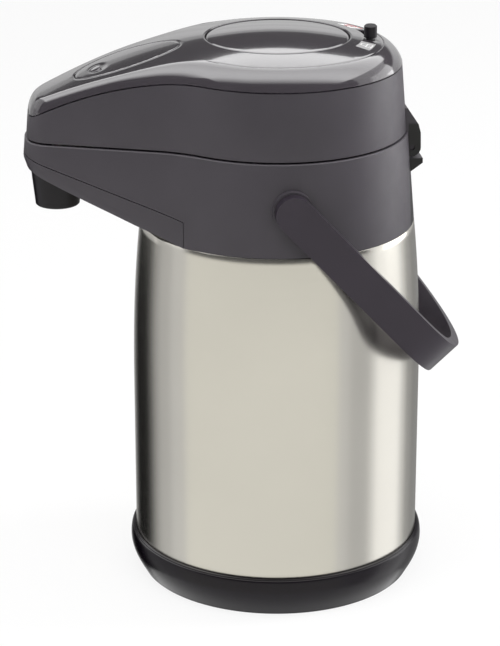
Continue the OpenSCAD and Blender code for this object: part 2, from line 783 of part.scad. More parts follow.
module hinge_block() {
    back = pin_y + hinge_r;
    inside = head_r - wall_t - 1.2;
    difference() {
        union() {
            side(hinge_w) polygon([
                [block_front, pin_z], [block_front, lid_base_z1 + seat], [inside, lid_base_z1 + seat],
                [inside, block_z1], [head_r - 1.1, block_z1], [back - 1.4, block_z1 - 9],
                [back - 0.2, block_z1 - 13.5], [back, pin_z]]);
            x_bar(pin_y, pin_z, hinge_r, -hinge_w / 2, hinge_w / 2);
        }
        translate([-knuckle_w / 2 - hinge_clear, pin_y - 12, pin_z - 10])
            cube([knuckle_w + 2 * hinge_clear, 12 + knuckle_r + hinge_clear, 10 + knuckle_r + 1]);
        x_bar(pin_y, pin_z, pin_r + run, -far, far);
    }
}

module lid_shell() {
    color(grey) difference() {
        union() {
            lid_wall();
            hinge_block();
            for (a = lid_screw_a) rotate(a) translate([lid_screw_at, 0, lid_base_z1 + seat])
                cylinder(r = boss_r, h = boss_h);
        }
        for (a = lid_screw_a) rotate(a) translate([lid_screw_at, 0, lid_z0 - eps])
            cylinder(r = screw_r, h = lid_base_t + boss_h - 1);
    }
}

// Half-width of the oval release pad, from its front end at 0 to its back end at 1
function pad_half(t) = pad_hw * pow(max(0, sin(180 * lerp(t, t * t, pad_skew))), pad_fullness);
pad_steps = 14;
function pad_u(i) = (1 - cos(180 * i / pad_steps)) / 2;
pad_end = 1.5;
function pad_point(i, g, s) = let (u = pad_u(i))
    [s * (max(pad_end, pad_half(u)) + g), (pad_len + 2 * g) * u - pad_front - g];
function pad_outline(g) = concat(
    [for (i = [pad_steps:-1:0]) pad_point(i, g, -1)],
    [for (i = [0:pad_steps]) pad_point(i, g, 1)]);

slot_spare = 3.5;

module lock_slot() {
    rotate(90 - lock_rest - slot_spare) rotate_extrude(angle = lock_angle + 2 * slot_spare)
        translate([lock_r - lug_d / 2 - shut, seam_z0]) square([lug_d + 2 * shut, far]);
}

module top_cover() {
    function roll(k) = [for (h = HEAD) let (
        y = grow(h, 0)[1],
        z = seam_z(y),
        p = grow(h, lid_g(z) - k * roll_at(y)))
        at_z(p, lerp(z, dome_z(p), sqrt(1 - pow(1 - k, 2))))];
    function inward(t, drop) = [for (h = HEAD) let (
        y = grow(h, 0)[1],
        q = grow(h, lid_g(seam_z(y)) - roll_at(y)),
        p = lerp(q, q / norm(q) * (hole_r - 1), t))
        at_z(p, dome_z(p) - drop)];
    function foot(t) = [for (h = HEAD) let (z = seam_z(grow(h, 0)[1])) at_z(grow(h, lid_g(z) - t), z)];
    color(gloss) difference() {
        union() {
            loft([
                foot(0), roll(0.04), roll(0.16), roll(0.36), roll(0.64),
                inward(0, 0), inward(0.3, 0), inward(0.65, 0), inward(1, 0),
                inward(1, cover_t), inward(0.5, cover_t), inward(0, cover_t), foot(wall_t)], loop = true);
            tube(hole_r - eps, hole_r + guide_t, guide_z0, button_z - 1);
            for (a = [30, 150, 270]) rotate(a)
                translate([hole_r + guide_t / 2, -4, ring_z0 - 0.3 - 1.8]) cube([5, 8, 1.8]);
            for (s = [-1, 1]) translate([s < 0 ? -ear_x - ear_w : ear_x, -pad_pivot - 4, pad_pin_z - 4])
                cube([ear_w, 8, dome_z([ear_x + ear_w, -pad_pivot - 4]) - cover_t / 2 - pad_pin_z + 4]);
        }
        translate([0, 0, guide_z0 - eps]) cylinder(r = hole_r, h = far);
        translate([0, 0, lid_z0]) linear_extrude(height = far) polygon(pad_outline(shut));
        lock_slot();
        x_bar(-pad_pivot, pad_pin_z, pad_pin_r + run, -ear_x - ear_w - eps, ear_x + ear_w + eps);
    }
}

module lid_base() {
    slot_d = 9;
    color(grey) difference() {
        union() {
            translate([0, 0, lid_base_z0]) linear_extrude(height = lid_base_t)
                polygon([for (h = HEAD) grow(h, -wall_t - 2 * seat)]);
            tube(plug_r - plug_t, plug_r, plug_z0, lid_base_z0 + eps);
            translate([0, 0, plug_z0 + outlet_lift]) cylinder(r = outlet_boss_r, h = lid_base_z0 - plug_z0);
            translate([0, 0, lid_base_z1 - eps]) cylinder(r = post_r, h = post_h + eps);
        }
        cylinder(r = air_r, h = far);
        for (a = lid_screw_a) rotate(a) translate([lid_screw_at, 0, 0]) cylinder(r = screw_r + run, h = far);
        for (s = [-1, 1])
            translate([s < 0 ? -hook_x - hook_w - 1 : hook_x - 1, -hook_at - slot_d / 2, lid_base_z0 - eps])
                cube([hook_w + 2, slot_d + hook_t / 2, lid_base_t + 2 * eps]);
    }
}

module lid_screws() {
    color(steel) for (a = lid_screw_a) rotate(a) translate([lid_screw_at, 0, 0])
        screw(lid_base_z0 - screw_head_t, lid_base_z0 - screw_head_t, lid_base_z1 + boss_h - 4);
}

module plug_seal() {
    color(rubber) tube(plug_r - plug_t - 1, plug_r, plug_z0 - plug_seal_t, plug_z0 - seat / 2);
}

module outlet_valve() {
    color(rubber) translate([0, 0, plug_z0 + outlet_lift - seat - valve_t]) {
        cylinder(r = outlet_flap_r, h = valve_t);
        cylinder(r = outlet_stem_r, h = outlet_stem_h);
    }
}

module bellows() {
    z0 = lid_base_z1 + seat;
    z1 = plunger_z0 - seat;
    r1 = bellows_d / 2;
    r0 = r1 - bellows_fold;
    step = (z1 - z0) / (2 * bellows_n);
    outer = [for (i = [0:2 * bellows_n]) [i % 2 == 0 ? r0 : r1, z0 + step * i]];
    color(black) rotate_extrude() polygon(concat(
        outer,
        [for (i = [2 * bellows_n:-1:0]) [outer[i][0] - bellows_t * 1.4, outer[i][1]]]));
}

module return_spring() {
    color(steel) coil(spring_d / 2, spring_wire, lid_base_z1 + seat, plunger_z0 - seat, spring_turns);
}

module release_pin() {
    half_w = ear_x + ear_w - 0.4;
    color(steel) x_bar(-pad_pivot, pad_pin_z, pad_pin_r, -half_w, half_w);
}

module release_spring() {
    color(steel) translate([0, -dot_at, 0])
        coil(4, 1, lid_base_z1 + seat, dome_z([4, -dot_at - 5]) - pad_t - 2 * seat, 7);
}

// Button

module push_button() {
    r = button_d / 2;
    in_r = r - 2;
    land_r = in_r - 4;
    top_z = button_z - 0.2;
    crown_r = r - 1.4;
    steps = 8;
    function crown_z(x) = top_z + button_crown * (1 - pow(x / crown_r, 2));
    color(gloss) rotate_extrude() polygon([
        for (t = [0:steps]) [crown_r * t / steps, crown_z(crown_r * t / steps)],
        [r - 1, top_z - 0.1], [r - 0.3, top_z - 0.6], [r, top_z - 1.4],
        [r, guide_z0], [in_r, guide_z0], [in_r, plunger_z1 + seat], [land_r, plunger_z1 + seat],
        for (t = [steps:-1:0]) [land_r * t / steps, crown_z(land_r * t / steps) - button_wall]]);
}

module plunger() {
    color(black) difference() {
        union() {
            translate([0, 0, plunger_z0]) cylinder(r = button_d / 2 - 2.4, h = plunger_t);
            translate([0, 0, plunger_z0 - stub_h]) cylinder(r = post_r, h = stub_h + eps);
        }
        translate([0, 0, plunger_z0 - stub_h - eps]) cylinder(r = 1.6, h = far);
    }
}

module intake_valve() {
    z = plunger_z0 - stub_h - seat;
    color(rubber) {
        translate([0, 0, z - valve_t]) cylinder(r = post_r * 0.65, h = valve_t);
        translate([0, 0, z - valve_t / 2]) cylinder(r = 1.4, h = stub_h);
    }
}

// Lock

module lock_ring() {
    color(black) {
        tube(ring_in, ring_out, ring_z0, ring_z1);
        rotate(90 - lock_rest) translate([lock_r, 0, ring_z1 - eps])
            cylinder(r = lug_d / 2, h = knob_z0 + lug_in - ring_z1 + eps);
    }
}

module lock_knob() {
    color(black) rotate(90 - lock_rest) translate([lock_r, 0, knob_z0]) rotate_extrude() polygon([
        [0, lug_in + seat], [lug_d / 2 + run, lug_in + seat], [lug_d / 2 + run, 0], [knob_d / 2, 0],
        [knob_d / 2, knob_h - 0.8], [knob_d / 2 - 0.8, knob_h], [0, knob_h]]);
}

// Release

module release_lever() {
    function sheet(k, drop) = [for (p = pad_outline(0)) let (
        c = [0, -(pad_front + pad_back) / 2],
        q = lerp(c, p, k))
        at_z(q, dome_z(q) - drop)];
    boss_w = ear_x - shut;
    web_w = pad_half((pad_front - pad_pivot + 2) / pad_len) - 1;
    hook_z1 = dome_z([hook_x + hook_w, -hook_at - hook_t / 2]) - pad_t / 2;
    dot_z0 = dome_z([0, -dot_at - dot_d]) - pad_t / 2;
    dot_ball = (pow(dot_d / 2, 2) + pow(dot_rise, 2)) / (2 * dot_rise);
    color(gloss) difference() {
        union() {
            loft([sheet(0.05, pad_t), sheet(0.5, pad_t), sheet(1, pad_t), sheet(1, 0),
                sheet(0.75, 0), sheet(0.5, 0), sheet(0.25, 0), sheet(0.05, 0)]);
            x_bar(-pad_pivot, pad_pin_z, pad_pin_r + 2, -boss_w + 4, boss_w - 4);
            translate([-web_w, -pad_pivot - 2, pad_pin_z])
                cube([2 * web_w, 4, dome_z([web_w, -pad_pivot - 2]) - pad_t / 2 - pad_pin_z]);
            for (s = [-1, 1]) translate([s < 0 ? -hook_x - hook_w : hook_x, -hook_at - hook_t / 2, hook_z0])
                cube([hook_w, hook_t, hook_z1 - hook_z0]);
            intersection() {
                translate([0, -dot_at, dome_z([0, -dot_at]) + dot_rise - dot_ball]) sphere(r = dot_ball);
                translate([-dot_d, -dot_at - dot_d, dot_z0]) cube(2 * dot_d);
            }
        }
        x_bar(-pad_pivot, pad_pin_z, pad_pin_r + run, -far, far);
    }
}

// Handle

// Plan line of the handle: straight sides, a bowed end and rounded bends between them
function bow_line(w, l, bow_r, bend_r) = let (
    c = l - bow_r,
    x = w - bend_r,
    y = c + sqrt(pow(bow_r - bend_r, 2) - x * x),
    a = atan2(y - c, x))
    concat([[w, -strap_w]],
        [for (i = [0:10]) [x + bend_r * cos(a * i / 10), y + bend_r * sin(a * i / 10)]],
        [for (i = [1:15]) let (b = lerp(a, 180 - a, i / 16)) [bow_r * cos(b), c + bow_r * sin(b)]],
        [for (i = [0:10]) let (b = lerp(180 - a, 180, i / 10)) [bend_r * cos(b) - x, y + bend_r * sin(b)]],
        [[-w, -strap_w]]);

module handle() {
    inner = bow_line(arm_x0, handle_reach - strap_t, handle_bow_r - strap_t, handle_bend_r - strap_t);
    color(grey) difference() {
        translate([0, pivot_y, pivot_z]) rotate([-handle_rest, 0, 0]) intersection() {
            linear_extrude(height = strap_w + 4, center = true) polygon(concat(
                bow_line(arm_x1, handle_reach, handle_bow_r, handle_bend_r),
                [for (i = [len(inner) - 1:-1:0]) inner[i]]));
            side(far) polygon(concat(
                [for (i = [0:24]) let (a = 90 + 180 * i / 24) strap_w / 2 * [cos(a), sin(a)]],
                [[far, -strap_w / 2], [far, strap_w / 2]]));
        }
        for (s = [-1, 1]) side_bar(s, pivot_r, arm_x0 - eps, arm_x1 - pin_cover);
    }
}

module handle_pins() {
    color(steel) for (s = [-1, 1]) side_bar(s, pivot_r, boss_x1 - boss_in, arm_x1 - pin_cover - seat);
}

base_ring();
base_plate();
base_screws();
outer_casing();
casing_bottom();
inner_vessel();
vessel_neck();
neck_nut();
collar();
beak_cover();
nozzle();
spout_pipe();
pipe_seal();
mouth_insert();
mouth_gasket();
dip_tube();
hinge_pin();
lid_shell();
top_cover();
lid_base();
lid_screws();
plug_seal();
outlet_valve();
bellows();
return_spring();
release_pin();
release_spring();
push_button();
plunger();
intake_valve();
lock_ring();
lock_knob();
release_lever();
handle();
handle_pins();
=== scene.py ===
import math

import bmesh
import bpy
import numpy as np
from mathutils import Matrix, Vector
from mathutils.geometry import delaunay_2d_cdt


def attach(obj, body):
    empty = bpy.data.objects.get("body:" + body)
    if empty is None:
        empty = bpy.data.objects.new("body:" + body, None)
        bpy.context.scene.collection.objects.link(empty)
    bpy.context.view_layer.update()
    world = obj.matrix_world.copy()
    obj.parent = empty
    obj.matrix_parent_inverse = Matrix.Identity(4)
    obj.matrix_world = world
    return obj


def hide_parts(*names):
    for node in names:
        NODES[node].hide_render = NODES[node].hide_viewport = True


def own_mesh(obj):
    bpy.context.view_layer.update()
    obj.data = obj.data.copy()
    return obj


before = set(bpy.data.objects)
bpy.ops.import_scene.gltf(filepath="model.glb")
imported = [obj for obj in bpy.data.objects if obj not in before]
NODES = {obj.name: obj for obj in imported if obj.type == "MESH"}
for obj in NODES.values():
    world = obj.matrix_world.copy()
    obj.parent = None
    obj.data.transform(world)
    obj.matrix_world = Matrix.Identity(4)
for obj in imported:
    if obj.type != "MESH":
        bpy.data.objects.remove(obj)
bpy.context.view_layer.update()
MM = 0.001

# The flask stands on Z = 0 round the Z axis, its beak points to -Y, its hinge lies at +Y and the camera is
# on the +X side. The part's sizes are in millimetres until they become meshes, and the stage is in metres.


# Sizes repeated from the part's source

HEAD_R = 68.1
BEAK_REACH, BEAK_SIDE, BEAK_TAPER = 131.9, 58.5, math.radians(19.4)
BLEND_R, CORNER_R, FRONT_R = 70.0, 14.0, 68.0
LID_Z0, SEAM_Z0, BUTTON_Z = 249.0, 284.2, 297.7
LID_DRAFT, COVER_T = 0.08, 2.4
ROLL_W, ROLL_TIP_W, ROLL_FADE = 9.5, 4.6, 45.0
SEAM_START, SEAM_FALL = 46.6, 0.0032
DOME_SLOPE, DOME_CURVE = 0.148, 0.00237
CROWN_START, CROWN_RISE = 50.0, 0.00078
BEAK_FLAT, FLAT_START, FLAT_FADE = 0.8, 20.0, 40.0
HOLE_R, BUTTON_R, BUTTON_CROWN, GUIDE_Z0 = 38.0, 37.5, 3.0, 284.7
PLUNGER_Z1, LAND_R, BUTTON_WALL = 291.1, 31.5, 2.4
PAD_FRONT, PAD_BACK, PAD_HW, PAD_END_HW = 105.7, 51.4, 17.5, 0.75
PAD_T, PAD_SKEW, PAD_FULL, PAD_GAP = 2.2, -0.1, 0.42, 0.5
PAD_PIVOT, PAD_PIN_Z, PAD_WEB, PAD_WEB_HT = 62.0, 284.0, 11.4, 2.0
DOT_AT, DOT_R = 95.7, 3.1
HOOK_AT, HOOK_X, HOOK_W, HOOK_T, HOOK_Z0 = 88.0, 8.6, 5.0, 4.0, 243.0
LOCK_R, LOCK_REST, LOCK_ANGLE, SLOT_SPARE, SLOT_HW = 48.4, 7.0, 22.0, 3.5, 2.4
CASING_R, CASING_STRAIGHT, LEDGE_Z, CASING_POW = 77.5, 110.0, 199.5, 2.2
CASING_Z0, COLLAR_LOW_R, INSET_R, SHEET_T = 10.2, 73.1055, 69.6055, 0.8
SHOULDER_Z, SHOULDER_RISE, SHOULDER_FLAT, NECK_R, MOUTH_Z = 218.0, 4.0, 6.0, 43.0, 231.0
BASE_R, FOOT_R, FOOT_W, BASE_H, BASE_WIDE = 80.4, 74.5, 3.0, 22.6, 16.5
BASE_IN, BASE_FLANGE_Z, BASE_FLANGE_IN, BASE_FLANGE_T = 77.7, 10.0, 59.5, 3.0
PIVOT_Y, PIVOT_Z, HANDLE_REST = -1.3, 224.4, math.radians(46.9)
ARM_X0, ARM_X1, STRAP_W, REACH, BOW_R, BEND_R = 74.1055, 79.9055, 19.0, 133.0, 140.0, 28.0
PUMP_Z0, PUMP_Z1, PUMP_TRAVEL = 251.8, 288.5, 20.0
BELLOWS_R, BELLOWS_FOLD, BELLOWS_N, BELLOWS_T = 32.0, 6.0, 5, 1.68
SPRING_R, SPRING_WIRE, SPRING_TURNS = 11.0, 1.6, 8
CATCH_R, CATCH_WIRE, CATCH_TURNS, CATCH_DROP = 4.0, 1.0, 7, 3.0
CATCH_REACH, CATCH_GAP = 5.0, 0.4
HINGE_HW, HINGE_Y = 15.0, 67.6


# Fine forms that only this script has

ROLL_LEAN, ROLL_BEGIN = 14.0, 4.0
CREASE_R, CREASE_W, CREASE_DEPTH, CREASE_END, CREASE_FADE = 55.0, 0.4, 0.22, 41.0, 8.0
DISH_AT, DISH_X, DISH_Y, DISH_DEPTH = 94.0, 8.0, 5.2, 0.35
DISH_FLOOR, DISH_SLOPE = 0.5, 0.6
DOT_MID, DOT_TILT, DOT_CROWN = 0.55, 0.1, 0.7
# Height below which the hinge's cheeks get painted shade
HINGE_SHADE_Z = 253.0
ROUNDED = {"collar": 0.6, "lid_shell": 0.5, "beak_cover": 1.2}

# Points along each stretch of a form
ROUND_N, BLEND_N, SIDE_N, CORNER_N, FRONT_N = 72, 20, 20, 20, 12
ROLL_N, CROWN_N, LAND_N, PAD_N, DOT_N, SLOT_N = 16, 24, 8, 60, 48, 14
FOLD_N, COIL_N, WIRE_N = 14, 28, 10
TURNED_N, BUTTON_N, BELLOWS_ROUND_N = 224, 192, 96


# Outline and surfaces of the head

def outline():
    """The head's plan as rows of centre x, centre y, radius, growth sign and direction."""
    normal = np.array([math.cos(BEAK_TAPER), -math.sin(BEAK_TAPER)])
    along = np.array([-math.sin(BEAK_TAPER), -math.cos(BEAK_TAPER)])
    q = math.sqrt((HEAD_R + BLEND_R) ** 2 - (BEAK_SIDE + BLEND_R) ** 2)
    blend = (BEAK_SIDE + BLEND_R) * normal + q * along
    blend_a = math.atan2(blend[1], blend[0])
    front = np.array([0.0, FRONT_R - BEAK_REACH])
    inner = BEAK_SIDE - CORNER_R - front @ normal
    corner_q = front @ along + math.sqrt((FRONT_R - CORNER_R) ** 2 - inner ** 2)
    corner = (BEAK_SIDE - CORNER_R) * normal + corner_q * along
    corner_a = math.atan2(corner[1] - front[1], corner[0] - front[0])
    p0, p1 = blend - BLEND_R * normal, corner + CORNER_R * normal

    def arc(c, r, s, a0, a1, n):
        return [(c[0], c[1], r, s, a0 + (a1 - a0) * i / n) for i in range(n)]

    half = arc((0, 0), HEAD_R, 1, math.pi / 2, blend_a, ROUND_N)
    half += arc(blend, BLEND_R, -1, blend_a + math.pi, math.pi - BEAK_TAPER, BLEND_N)
    half += [(*(p0 + (p1 - p0) * i / SIDE_N), 0, 1, -BEAK_TAPER) for i in range(SIDE_N)]
    half += arc(corner, CORNER_R, 1, -BEAK_TAPER, corner_a, CORNER_N)
    half += arc(front, FRONT_R, 1, corner_a, -math.pi / 2, FRONT_N)
    half.append((front[0], front[1], FRONT_R, 1, -math.pi / 2))
    left = [(-x, y, r, s, math.pi - a) for x, y, r, s, a in half]
    return np.array(left + half[-2:0:-1])


def grow(plan, g):
    """The points of a plan from outline(), grown by g."""
    r = plan[:, 2] + plan[:, 3] * g
    return np.stack([plan[:, 0] + r * np.cos(plan[:, 4]), plan[:, 1] + r * np.sin(plan[:, 4])], 1)


def seam_z(y):
    return SEAM_Z0 - SEAM_FALL * np.maximum(0, -y - SEAM_START) ** 2


def ease(t):
    t = np.clip(t, 0, 1)
    return t * t * (3 - 2 * t)


def roll_at(y):
    """The width of the cover's rounded edge, which narrows towards the beak's tip."""
    return ROLL_W + (ROLL_TIP_W - ROLL_W) * ease((-y - SEAM_START) / ROLL_FADE)


def dome_z(p):
    p = np.asarray(p, float)
    x, y = p[..., 0], p[..., 1]
    s = np.hypot(x * (1 + (BEAK_FLAT - 1) * ease((-y - FLAT_START) / FLAT_FADE)), y) - HOLE_R
    crown = CROWN_RISE * np.maximum(0, -y - CROWN_START) ** 2
    return BUTTON_Z - DOME_SLOPE * s - DOME_CURVE * s * s + crown


def cover_z(p):
    """The dome with a fine crease round the button's half of it."""
    p = np.asarray(p, float)
    off = (np.hypot(p[..., 0], p[..., 1]) - CREASE_R) / CREASE_W
    return dome_z(p) - CREASE_DEPTH * np.exp(-off * off) * ease((p[..., 1] + CREASE_END) / CREASE_FADE)


def pad_z(p):
    """The release pad follows the dome, with a shallow finger dish round its dot."""
    p = np.asarray(p, float)
    d = np.hypot(p[..., 0] / DISH_X, (p[..., 1] + DISH_AT) / DISH_Y)
    return dome_z(p) - DISH_DEPTH * (1 - ease((d - DISH_FLOOR) / DISH_SLOPE))


def lift(pts, drop=0.0):
    """Points in plan, put on the dome less a drop."""
    return np.column_stack([pts, dome_z(pts) - drop])


def pad_outline(g):
    """The oval of the release pad, grown by g."""
    u = (1 - np.cos(np.pi * np.arange(PAD_N + 1) / PAD_N)) / 2
    bulge = np.maximum(0, np.sin(np.pi * (u + (u * u - u) * PAD_SKEW))) ** PAD_FULL
    w = np.maximum(PAD_END_HW, PAD_HW * bulge) + g
    y = -PAD_FRONT - g + (PAD_FRONT - PAD_BACK + 2 * g) * u
    return np.concatenate([np.stack([-w, y], 1)[::-1], np.stack([w, y], 1)])


def slot_outline(g):
    """The arc slot of the lock slider, grown by g."""
    a0 = math.radians(90 - LOCK_REST - SLOT_SPARE)
    a1 = math.radians(90 - LOCK_REST + LOCK_ANGLE + SLOT_SPARE)
    hw = SLOT_HW + g
    spread = g / LOCK_R
    a = np.linspace(a0 - spread, a1 + spread, SLOT_N)
    outer = np.stack([(LOCK_R + hw) * np.cos(a), (LOCK_R + hw) * np.sin(a)], 1)
    inner = np.stack([(LOCK_R - hw) * np.cos(a), (LOCK_R - hw) * np.sin(a)], 1)
    return np.concatenate([outer, inner[::-1]])


def circle(r, n=160):
    a = 2 * np.pi * np.arange(n) / n
    return np.stack([r * np.cos(a), r * np.sin(a)], 1)


def hex_grid(step, low, high):
    xs, ys = np.meshgrid(np.arange(low[0], high[0], step), np.arange(low[1], high[1], step * 0.866))
    xs = xs + (np.arange(xs.shape[0]) % 2)[:, None] * step / 2
    return np.column_stack([xs.ravel(), ys.ravel()])


def inside(poly, pts):
    """Which points lie inside a polygon."""
    x, y = pts[:, 0:1], pts[:, 1:2]
    x0, y0 = poly[:, 0], poly[:, 1]
    x1, y1 = np.roll(x0, -1), np.roll(y0, -1)
    cross = (y0 > y) != (y1 > y)
    at = (x1 - x0) * (y - y0) / np.where(y1 == y0, 1e-12, y1 - y0) + x0
    return (np.sum(cross & (x < at), 1) % 2).astype(bool)


# Mesh helpers

def add_object(name, data):
    obj = bpy.data.objects.new(name, data)
    bpy.context.scene.collection.objects.link(obj)
    return obj


def round_edges(obj, name, width, limit):
    """A bevel on the edges that turn by more than the limit in degrees."""
    bevel = obj.modifiers.new(name, "BEVEL")
    bevel.width = width * MM
    bevel.segments = 3
    bevel.limit_method = "ANGLE"
    bevel.angle_limit = math.radians(limit)
    bevel.harden_normals = True


class Build:
    """Collects vertices in millimetres and faces, then becomes one piece."""

    def __init__(self):
        self.verts, self.faces = [], []

    def add(self, pts):
        start = len(self.verts)
        self.verts.extend(tuple(map(float, p)) for p in pts)
        return list(range(start, start + len(pts)))

    def loft(self, rings, closed=False, loop=True):
        """Joins rings of equal length; closed joins the last to the first, and loop closes each ring."""
        rows = [self.add(r) for r in rings]
        pairs = list(zip(rows, rows[1:] + rows[:1])) if closed else list(zip(rows, rows[1:]))
        n = len(rows[0])
        for a, b in pairs:
            for i in range(n if loop else n - 1):
                j = (i + 1) % n
                self.faces.append((a[i], a[j], b[j], b[i]))
        return rows

    def cap(self, row, flip=False):
        self.faces.append(tuple(reversed(row)) if flip else tuple(row))

    def box(self, lo, hi):
        x0, y0, z0 = lo
        x1, y1, z1 = hi
        low = [(x0, y0, z0), (x1, y0, z0), (x1, y1, z0), (x0, y1, z0)]
        rows = self.loft([low, [(x, y, z1) for x, y, _ in low]])
        self.cap(rows[0], True)
        self.cap(rows[1])

    def lathe(self, profile, n, closed=False):
        """Turns a profile of radius and height round the Z axis."""
        a = 2 * np.pi * np.arange(n) / n
        turn = list(zip(np.cos(a), np.sin(a)))
        self.loft([[(r * c, r * s, z) for c, s in turn] for r, z in profile], closed)

    def fill(self, loops, inner, height):
        """Fills the first loop, less the others, with triangles through the inner points."""
        pts, edges = [], []
        for loop in loops:
            start = len(pts)
            pts.extend(map(tuple, loop))
            edges.extend((start + i, start + (i + 1) % len(loop)) for i in range(len(loop)))
        pts.extend(map(tuple, inner))
        verts, _, faces, *_ = delaunay_2d_cdt([Vector(p) for p in pts], edges, [], 0, 1e-5)
        flat = np.array([tuple(v) for v in verts])
        faces = [f for f in faces if len(f) >= 3]
        mid = np.array([flat[list(f)].mean(0) for f in faces])
        good = inside(loops[0], mid)
        for loop in loops[1:]:
            good &= ~inside(loop, mid)
        ids = self.add(np.column_stack([flat, height(flat)]))
        self.faces.extend(tuple(ids[i] for i in f) for f, ok in zip(faces, good) if ok)

    def coil(self, r, wire, z0, z1, turns, y=0.0):
        """A compression spring as one round wire with flat ends, its axis at the given y."""
        w = wire / 2
        ring = [(r + w * math.cos(t), w * math.sin(t)) for t in 2 * np.pi * np.arange(WIRE_N) / WIRE_N]
        rings = []
        for i in range(turns * COIL_N + 1):
            a = 2 * math.pi * i / COIL_N
            z = z0 + w + (z1 - z0 - wire) * i / (turns * COIL_N)
            rings.append([(q * math.cos(a), y + q * math.sin(a), z + up) for q, up in ring])
        rows = self.loft(rings)
        self.cap(rows[0])
        self.cap(rows[-1], True)

    def piece(self, name, material, body, replaces, angle=35, bevel=None):
        """Makes the object; edges sharper than the angle stay sharp."""
        mesh = bpy.data.meshes.new(name)
        mesh.from_pydata([tuple(c * MM for c in v) for v in self.verts], [], self.faces)
        bm = bmesh.new()
        bm.from_mesh(mesh)
        bmesh.ops.remove_doubles(bm, verts=bm.verts, dist=2e-6)
        bmesh.ops.recalc_face_normals(bm, faces=bm.faces)
        bm.to_mesh(mesh)
        bm.free()
        mesh.shade_smooth()
        mesh.set_sharp_from_angle(angle=math.radians(angle))
        obj = add_object(name, mesh)
        mesh.materials.append(material)
        if bevel:
            round_edges(obj, "edges", bevel, limit=40)
        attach(obj, body)
        if replaces:
            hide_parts(*replaces)
        return obj


# Materials

GRAIN_DEPTH, BRUSH_DEPTH = 0.2 * MM, 0.04 * MM
TINT_LOW, TINT_HIGH = 0.3, 0.7
# Where the painted shade on the hinge's cheeks sets in, across, backwards and downwards, in metres
CHEEK_X = (HINGE_HW - 0.4) * MM, (HINGE_HW - 0.1) * MM
CHEEK_Y = (HINGE_Y - 0.2) * MM, (HINGE_Y + 0.2) * MM
CHEEK_Z = HINGE_SHADE_Z * MM, (HINGE_SHADE_Z - 1.5) * MM


def srgb(*levels):
    """A colour from its 0 to 255 levels."""
    linear = [((c / 255 + 0.055) / 1.055) ** 2.4 if c > 10 else c / 255 / 12.92 for c in levels]
    return (*linear, 1.0)


def shade(c, k):
    return tuple(min(1.0, x * k) for x in c[:3]) + (1.0,)


def maths(tree, operation, *values):
    """A Math node on sockets and plain numbers."""
    m = tree.nodes.new("ShaderNodeMath")
    m.operation = operation
    for socket, value in zip(m.inputs, values):
        if isinstance(value, bpy.types.NodeSocket):
            tree.links.new(value, socket)
        else:
            socket.default_value = value
    return m.outputs[0]


class Mat:
    """A Principled material with helper nodes in the part's own coordinates."""

    def __init__(self, name, **constants):
        self.mat = bpy.data.materials.new(name)
        self.mat.use_nodes = True
        self.tree = self.mat.node_tree
        self.nodes, self.links = self.tree.nodes, self.tree.links
        self.bsdf = self.nodes["Principled BSDF"]
        self.place = self.nodes.new("ShaderNodeTexCoord").outputs["Object"]
        for key, value in constants.items():
            self.bsdf.inputs[key.replace("_", " ").title().replace("Ior", "IOR")].default_value = value

    def node(self, kind, **values):
        n = self.nodes.new(kind)
        for key, value in values.items():
            if key in n.inputs.keys():
                n.inputs[key].default_value = value
            else:
                setattr(n, key, value)
        return n

    def noise(self, scale, detail, rough, stretch=(1, 1, 1)):
        m = self.node("ShaderNodeMapping", Scale=stretch)
        self.links.new(self.place, m.inputs["Vector"])
        n = self.node("ShaderNodeTexNoise", Scale=scale, Detail=detail, Roughness=rough)
        self.links.new(m.outputs["Vector"], n.inputs["Vector"])
        return n.outputs["Fac"]

    def tint(self, fac, low, high):
        r = self.node("ShaderNodeValToRGB")
        for e, at, colour in zip(r.color_ramp.elements, (TINT_LOW, TINT_HIGH), (low, high)):
            e.position, e.color = at, colour
        self.links.new(fac, r.inputs["Fac"])
        return r.outputs["Color"]

    def remap(self, value, low, high, to_low=0, to_high=1):
        m = self.node("ShaderNodeMapRange")
        for key, x in (("From Min", low), ("From Max", high), ("To Min", to_low), ("To Max", to_high)):
            m.inputs[key].default_value = x
        self.links.new(value, m.inputs["Value"])
        return m.outputs["Result"]

    def colour(self, socket):
        self.links.new(socket, self.bsdf.inputs["Base Color"])

    def roughness(self, socket):
        self.links.new(socket, self.bsdf.inputs["Roughness"])

    def bump(self, height, strength, distance):
        b = self.node("ShaderNodeBump", Strength=strength, Distance=distance)
        self.links.new(height, b.inputs["Height"])
        self.links.new(b.outputs["Normal"], self.bsdf.inputs["Normal"])


def paint_cheek_shade(m, tint, colour):
    """Painted shade: the cheeks of the hinge block and of the tab below it are coloured nearly black to stand
    in for their shadow; the rest keeps its tint.
    """
    split = m.node("ShaderNodeSeparateXYZ")
    m.links.new(m.place, split.inputs[0])
    x, y, z = split.outputs
    cheek = m.remap(maths(m.tree, "ABSOLUTE", x), *CHEEK_X)
    beyond = m.remap(y, *CHEEK_Y)
    below = m.remap(z, *CHEEK_Z)
    # Painted shade: the mask is strongest on the hinge's cheeks, which stand in shadow
    shade_mask = maths(m.tree, "MULTIPLY", maths(m.tree, "MULTIPLY", cheek, beyond), below)
    mix = m.node("ShaderNodeMix", data_type="RGBA")
    m.links.new(shade_mask, mix.inputs["Factor"])
    colour_a, colour_b, result = mix.inputs[6], mix.inputs[7], mix.outputs[2]
    m.links.new(tint, colour_a)
    colour_b.default_value = colour
    return result


